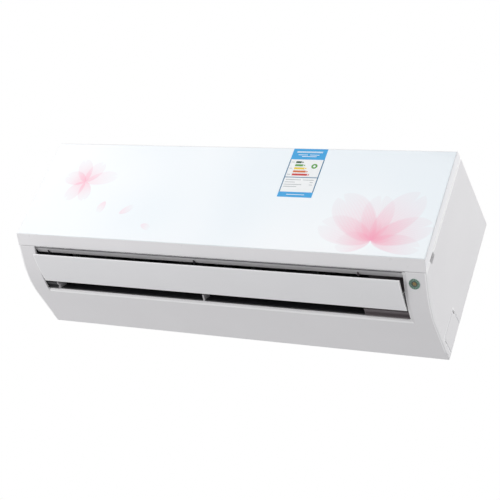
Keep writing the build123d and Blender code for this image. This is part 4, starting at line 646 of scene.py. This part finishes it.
def rating_sticker(front):
    """Plain energy sticker: blue bands, a white field, graded arrows and ruled lines."""
    left, low, wide, tall = 105.0, 168.5, 65.0, 103.1
    face = front - 0.1
    thin = 0.02          # of the ink
    inks = list(INKS)
    sheet = Mesh()
    sheet.block(left, left + wide, face, front, low, low + tall, inks.index("white"))

    def mark(x0, x1, z0, z1, ink, lift=thin):
        sheet.block(left + x0, left + x1, face - lift, face, low + z0, low + z1, inks.index(ink))

    mark(0.0, wide, 80.0, tall, "blue")
    mark(0.0, wide, 0.0, 11.0, "blue")
    mark(0.0, 2.0, 11.0, 80.0, "frame")
    mark(63.0, wide, 11.0, 80.0, "frame")
    mark(2.0, 63.0, 41.0, 42.6, "frame")

    # arrows, longer from grade to grade
    start, half = 13.0, 2.1
    for i, ink in enumerate(("dark green", "green", "yellow", "orange", "red")):
        z = 74.0 - i * 6.6
        end = start + 10.5 + i * 4.6
        mark(start, end, z - half, z + half, ink)
        points = [(left + x, y, low + z + up) for y in (face, face - thin)
                  for x, up in ((end + 1.2, -half), (end + 1.2, half), (end + 4.4, 0.0))]
        sheet.add(points, [(0, 1, 2), (5, 4, 3), (0, 3, 4, 1), (1, 4, 5, 2), (2, 5, 3, 0)],
                  inks.index(ink))

    # round badge beside the arrows
    steps = 14
    for inner, outer, ink in ((0.0, 2.2, "pale"), (2.2, 5.2, "green")):
        for i in range(steps):
            a0, a1 = 2 * math.pi * i / steps, 2 * math.pi * (i + 1) / steps
            corners = [(inner, a0), (outer, a0), (outer, a1), (inner, a1)]
            if inner == 0.0:
                corners.pop()
            points = [(left + 50 + 1.1 * radius * math.cos(a), y, low + 66 + radius * math.sin(a))
                      for y in (face, face - thin) for radius, a in corners]
            count = len(corners)
            sides = [(j, (j + 1) % count, count + (j + 1) % count, count + j) for j in range(count)]
            caps = [tuple(range(count)), tuple(range(count, 2 * count))[::-1]]
            sheet.add(points, sides + caps, inks.index(ink))

    for ink, lift, lines in (("pale", 0.03, PALE_LINES), ("grey", thin, GREY_LINES)):
        for x0, x1, z in lines:
            mark(x0, x1, z - 0.55, z + 0.55, ink, lift)
    sheet.piece("rating_sticker", "panel", None,
                [paper("ink " + code, code) for code in INKS.values()])


rating_sticker(glass_face())


# ---------------------------------------------------------------- receiver window
def receiver_window():
    """Round receiver lens: fluted halo, dark ring and amber dome."""
    out = Vector((0.0, -math.sin(SLOPE), -math.cos(SLOPE)))
    across = Vector((1.0, 0.0, 0.0))
    up = out.cross(across)
    centre = Vector((378.0, -169.7, 37.86))
    flutes = 16
    steps = flutes * 4
    # radius, height, depth of the flutes and tint of each ring, from the rim to the middle
    rings = [(9.4, 0.1, 0.0, 0), (9.4, 0.55, 0.0, 0), (9.0, 0.8, 0.0, 1), (8.2, 0.45, 0.3, 1),
             (5.5, 0.1, 0.5, 1), (5.2, 0.45, 0.0, 2), (4.6, 0.62, 0.0, 2), (3.6, 0.62, 0.0, 2),
             (3.2, 0.35, 0.0, 3), (2.9, 0.62, 0.0, 3), (2.1, 0.9, 0.0, 3), (1.0, 0.98, 0.0, 3)]
    edge, halo, amber, flute_shade = 0, 1, 3, 4
    points = []
    for radius, height, wave, _ in rings:
        for i in range(steps):
            a = 2 * math.pi * i / steps
            lift = height + wave * (0.5 + 0.5 * math.cos(a * flutes))
            points.append(centre + across * radius * math.cos(a) + up * radius * math.sin(a)
                          + out * lift)
    top, back = len(points), len(points) + 1
    faces, tints = [], []
    for k, (_, _, _, tint) in enumerate(rings[:-1]):
        for i in range(steps):
            a, b = k * steps + i, k * steps + (i + 1) % steps
            faces.append((a, b, b + steps, a + steps))
            # one flank of each flute takes the darker tint: painted shade
            tints.append(flute_shade if tint == halo and (i + 2) % 4 < 2 else tint)
    last = (len(rings) - 1) * steps
    for i in range(steps):
        j = (i + 1) % steps
        faces += [(last + i, last + j, top), (j, i, back)]
        tints += [amber, edge]
    dial = Mesh()
    dial.add(points + [centre + out * 1.0, centre + out * 0.1], faces, tints)
    glass = []
    for name, colour, rough in (("lens edge", "BFD8CF", 0.15), ("lens halo", "72A78F", 0.12),
                                ("lens ring", "1B3F2C", 0.2), ("lens amber", "8F7428", 0.1),
                                ("lens flute", "2F5B49", 0.15)):
        n = Nodes(name)
        base = rgb(colour)
        cloud = n.ramp(n.noise(900.0, 3.0), 0.35, 0.7)
        n.set(Base_Color=n.mix(cloud, base, shade(base, 0.45)), Roughness=rough, Coat_Weight=0.5)
        n.bump(n.noise(500.0, 1.0), 0.00005, 0.2)
        glass.append(n.material)
    dial.piece("receiver_window", "casing", "receiver_lens", glass, 25)


receiver_window()


# ---------------------------------------------------------------- top grille
def intake_grille():
    """Moulded intake grille: rim, cross ribs and slim bars."""
    (x0, x1), (y0, y1), (z0, z1) = limits("top_grille")
    rim_x, rim_front, rim_back, rim_depth = 371.7, -165.7, -24.3, 2.3
    end, side, overlap = 9, 7, 3     # widths of the rim's ends and sides, and of its seat's lap
    hole_x, hole_front, hole_back = rim_x - end, rim_front + side, rim_back - side
    grid = Mesh()

    def border(outer, inner, low, high):
        """Flat frame between two boxes, each given as x0, x1, y0, y1."""
        a0, a1, b0, b1 = outer
        c0, c1, d0, d1 = inner
        for box in ((a0, a1, b0, d0), (a0, a1, d1, b1), (a0, c0, d0, d1), (c1, a1, d0, d1)):
            grid.block(*box, low, high)

    border((-rim_x, rim_x, rim_front, rim_back), (-hole_x, hole_x, hole_front, hole_back),
           z1 - rim_depth, z1)
    border((x0, x1, y0, y1), (overlap - rim_x, rim_x - overlap, rim_front + overlap,
                              rim_back - overlap), z0, z1 - rim_depth)
    ribs, bars, half_rib, half_bar, into_rim = 14, 17, 1.3, 1.1, 1
    for i in range(1, ribs):
        x = -hole_x + 2 * hole_x * i / ribs
        grid.block(x - half_rib, x + half_rib, hole_front - into_rim, hole_back + into_rim,
                   z0 + 0.2, z1 - 0.3)
    for i in range(1, bars):
        y = hole_front + (hole_back - hole_front) * i / bars
        grid.block(-hole_x - into_rim, hole_x + into_rim, y - half_bar, y + half_bar,
                   z0 + 0.6, z1 - 0.1)
    grid.piece("intake_grille", "casing", "top_grille",
               [finishes["casing_plastic"]])


intake_grille()


# ---------------------------------------------------------------- heat exchanger
# middle line of each row of fins, as (y, z) of its two ends
COILS = {"coil_front": ((-158.0, 92.0), (-158.0, 166.0)),
         "coil_top": ((-152.0, 171.0), (-104.0, 241.0)),
         "coil_rear": ((-86.5, 231.5), (-44.0, 184.0))}


def coil_fins(node, ends):
    """Stack of thin aluminium fins with copper tubes through it."""
    (y0, z0), (y1, z1) = ends
    (x0, x1), _, _ = limits(node)
    half_depth, fins, half_fin, end_gap = 12.9, 330, 0.22, 0.2
    tube_pitch, tube_radius, tube_row, tube_sides, beyond = 21.0, 3.4, 6.5, 10, 4
    long = math.hypot(y1 - y0, z1 - z0)
    run_y, run_z = (y1 - y0) / long, (z1 - z0) / long
    off_y, off_z = -run_z * half_depth, run_y * half_depth
    rim = [(y0 + off_y, z0 + off_z), (y1 + off_y, z1 + off_z),
           (y1 - off_y, z1 - off_z), (y0 - off_y, z0 - off_z)]
    stack = Mesh()
    pitch = (x1 - x0 - 2 * end_gap) / fins
    for i in range(fins):
        x = x0 + end_gap + pitch * (i + 0.5)
        stack.prism(rim, x - half_fin, x + half_fin)
    tubes = int((long + beyond) / tube_pitch)
    for row in (-tube_row, tube_row):
        for k in range(tubes):
            place = (long - (tubes - 1) * tube_pitch) / 2 + tube_pitch * k
            y = y0 + run_y * place - run_z * row
            z = z0 + run_z * place + run_y * row
            turns = [2 * math.pi * a / tube_sides for a in range(tube_sides)]
            stack.prism([(y + tube_radius * math.cos(a), z + tube_radius * math.sin(a))
                         for a in turns], x0, x1, 1)
    stack.piece(node + "_fins", "casing", node,
                [finishes["steel"], finishes["copper"]])


for coil, coil_ends in COILS.items():
    coil_fins(coil, coil_ends)


# ---------------------------------------------------------------- fan
def fan_wheel():
    """Cross-flow fan: eight bays of forward-curved blades between rings."""
    axis_y, axis_z = -88.0, 128.0
    left, right, bays, blades = -330.0, 272.0, 8, 35
    disc, outer_radius, inner_radius, bite = 2.0, 45.9, 33.0, 0.1    # of the rings
    step = (right - left - disc) / bays
    wheel = Mesh()

    def circle(radius, count=60):
        turns = [2 * math.pi * i / count for i in range(count)]
        return [(axis_y + radius * math.cos(a), axis_z + radius * math.sin(a)) for a in turns]

    outer, inner = circle(outer_radius), circle(inner_radius)
    count = len(outer)
    for i in range(bays + 1):
        x = left + i * step
        if i in (0, bays):
            wheel.prism(outer, x, x + disc)
            continue
        points = [(face, *p) for face in (x, x + disc) for p in outer + inner]
        faces = []
        for a in range(count):
            b = (a + 1) % count
            faces += [(a, b, count + b, count + a),
                      (2 * count + b, 2 * count + a, 3 * count + a, 3 * count + b),
                      (b, a, 2 * count + a, 2 * count + b),
                      (count + a, count + b, 3 * count + b, 3 * count + a)]
        wheel.add(points, faces)

    # a blade's section as radius, turn and half thickness, from its tip inwards
    section = []
    for t in range(6):
        share = t / 5
        swell = math.sin(share * math.pi)
        section.append((45.4 - 12.0 * share, 0.2 * share + 0.1 * swell, 0.55 + 0.3 * swell))
    for bay in range(bays):
        x0, x1 = left + bay * step + disc - bite, left + (bay + 1) * step + bite
        shift = bay * 0.37       # of the blades from bay to bay, in blades
        for i in range(blades):
            start = 2 * math.pi * (i + shift) / blades
            rim = [(r, start + turn + half / r) for r, turn, half in section]
            rim += [(r, start + turn - half / r) for r, turn, half in section[::-1]]
            wheel.prism([(axis_y + r * math.cos(a), axis_z + r * math.sin(a)) for r, a in rim],
                        x0, x1)
    for start, end, radius in ((left, left + 14, 8.0), (right - 16, right + 6, 11.0)):
        wheel.prism(circle(radius, 32), start, end)
    wheel.piece("fan_wheel", "fan", "cross_flow_fan", [finishes["fan_plastic"]], 30)


fan_wheel()


# ---------------------------------------------------------------- filter nets
def filter_net(name, left, right):
    """Moulded mesh of a dust filter, up the front and over the top."""
    front, top, corner = -182.3, 270.7, 34.0     # middle of the frames' thickness
    path = [(front, 74.5), (front, top - corner), (front + corner, top), (-65.0, top)]
    half, pitch = 0.16, 2.6                      # of one thread, and from thread to thread
    margin, overhang = 2, 0.5                    # from the frame's side to the first thread
    net = Mesh()
    across = int((right - left - 2 * margin) / pitch)
    for (y0, z0), (y1, z1) in zip(path, path[1:]):
        long = math.hypot(y1 - y0, z1 - z0)
        dy, dz = -(z1 - z0) / long * half, (y1 - y0) / long * half
        for i in range(across + 1):
            x = left + margin + pitch * i
            points = [(x + across_x * half, y + up * dy, z + up * dz)
                      for y, z in ((y0, z0), (y1, z1))
                      for across_x, up in ((-1, 1), (1, 1), (1, -1), (-1, -1))]
            net.add(points, [(0, 1, 2, 3), (7, 6, 5, 4), (0, 4, 5, 1), (1, 5, 6, 2), (2, 6, 7, 3),
                             (3, 7, 4, 0)])
        rows = max(1, int(long / pitch))
        for k in range(rows + 1):
            y, z = y0 + (y1 - y0) * k / rows, z0 + (z1 - z0) * k / rows
            net.block(left + margin - overhang, right - margin + overhang, y - half, y + half,
                      z - half, z + half)
    net.piece(name, "casing", None, [finishes["filter"]])


filter_net("filter_net_left", -378.0, -40.0)
filter_net("filter_net_right", -34.0, 304.0)


# ---------------------------------------------------------------- stage, lights, camera
SEEN_RAYS = ("Is Camera Ray", "Is Glossy Ray", "Is Transmission Ray")


def seen_by_camera(tree):
    """1 for rays that show the backdrop itself, 0 for rays that gather its light."""
    ray = tree.nodes.new("ShaderNodeLightPath")
    value = ray.outputs[SEEN_RAYS[0]]
    for title in SEEN_RAYS[1:]:
        larger = tree.nodes.new("ShaderNodeMath")
        larger.operation = "MAXIMUM"
        tree.links.new(value, larger.inputs[0])
        tree.links.new(ray.outputs[title], larger.inputs[1])
        value = larger.outputs[0]
    return value


def grow_floor(height, size):
    """White ground, far enough below the unit to leave the views from underneath free."""
    bpy.ops.mesh.primitive_plane_add(size=size, location=(0.0, 0.0, height))
    floor = bpy.context.object
    floor.name = "floor"
    n = Nodes("floor")
    tone = n.mix(n.noise(2.0, 2.0), rgb("FFFFFF"), rgb("F8F8F8"))
    n.set(Base_Color=tone, Roughness=0.9, Specular_IOR_Level=0.0)
    n.set(Emission_Color=tone, Emission_Strength=n.math("MULTIPLY", seen_by_camera(n.tree), 0.55))
    floor.data.materials.append(n.material)


def paint_world(gathered, seen):
    """Two backgrounds, each a colour and a strength: one that lights, and one that is seen."""
    world = bpy.context.scene.world or bpy.data.worlds.new("world")
    bpy.context.scene.world = world
    world.use_nodes = True
    sky = world.node_tree
    sky.nodes.clear()
    shown = sky.nodes.new("ShaderNodeMixShader")
    for index, (tone, strength) in enumerate((gathered, seen), 1):
        glow = sky.nodes.new("ShaderNodeBackground")
        glow.inputs["Color"].default_value = tone
        glow.inputs["Strength"].default_value = strength
        sky.links.new(glow.outputs[0], shown.inputs[index])
    sky.links.new(seen_by_camera(sky), shown.inputs[0])
    sky.links.new(shown.outputs[0], sky.nodes.new("ShaderNodeOutputWorld").inputs["Surface"])


grow_floor(-3.2, 14.0)
paint_world(((0.98, 0.98, 1.0, 1.0), 0.52), ((1.0, 1.0, 1.0, 1.0), 1.0))


def softbox(name, place, aim, size, power, colour=(1.0, 1.0, 1.0)):
    """Rectangular lamp at one point, turned to another."""
    data = bpy.data.lights.new(name, "AREA")
    data.shape = "RECTANGLE"
    data.size, data.size_y = size
    data.energy = power
    data.color = colour
    lamp = bpy.data.objects.new(name, data)
    bpy.context.scene.collection.objects.link(lamp)
    lamp.location = place
    lamp.rotation_euler = (Vector(aim) - Vector(place)).to_track_quat("-Z", "Y").to_euler()


WARM, COOL = (1.0, 0.98, 0.975), (0.965, 0.985, 1.0)
softbox("key", (-1.0, -2.65, 1.1), (-0.05, -0.1, 0.0), (2.8, 1.6), 17.6, COOL)
softbox("low", (-1.6, -1.6, -1.1), (-0.2, -0.1, 0.0), (1.4, 0.8), 8.2, WARM)
softbox("right", (1.7, -0.5, 1.0), (0.4, -0.1, 0.05), (1.2, 0.8), 11.0)
softbox("rim", (2.0, -1.5, -0.5), (0.4, -0.1, -0.05), (0.5, 0.9), 2.0)
softbox("left", (-1.8, -1.3, -0.4), (-0.3, -0.1, 0.0), (1.2, 1.0), 7.0)


# the camera was fitted in widths of the casing, from the middle of its underside
AZIMUTH, ELEVATION, ROLL = map(math.radians, (32.82, -28.28, 20.68))
ACROSS, UP, FAR = 0.0295, 0.1984, 2.8410
PICTURE, FOCAL, SENSOR = 500, 1268.5, 36.0       # the first two in pixels


def place_camera():
    """Camera that sees the unit from below, from its right, and tilted."""
    back = Vector((math.sin(AZIMUTH) * math.cos(ELEVATION),
                   -math.cos(AZIMUTH) * math.cos(ELEVATION), math.sin(ELEVATION)))
    side = (-back).cross(Vector((0, 0, 1))).normalized()
    top = side.cross(-back)
    right = side * math.cos(ROLL) + top * math.sin(ROLL)
    up = -side * math.sin(ROLL) + top * math.cos(ROLL)
    width = 2 * HALF * MM
    spot = (right * ACROSS + up * UP + back * FAR) * width - Vector((0, 0, DROP * MM))
    lens = bpy.data.cameras.new("camera")
    lens.sensor_width = SENSOR
    lens.lens = FOCAL / PICTURE * SENSOR
    lens.clip_end = 50.0
    camera = bpy.data.objects.new("camera", lens)
    bpy.context.scene.collection.objects.link(camera)
    turn = Matrix((right, up, back)).transposed().to_4x4()
    camera.matrix_world = Matrix.Translation(spot) @ turn
    bpy.context.scene.camera = camera


place_camera()
bpy.context.scene.view_settings.view_transform = "Standard"
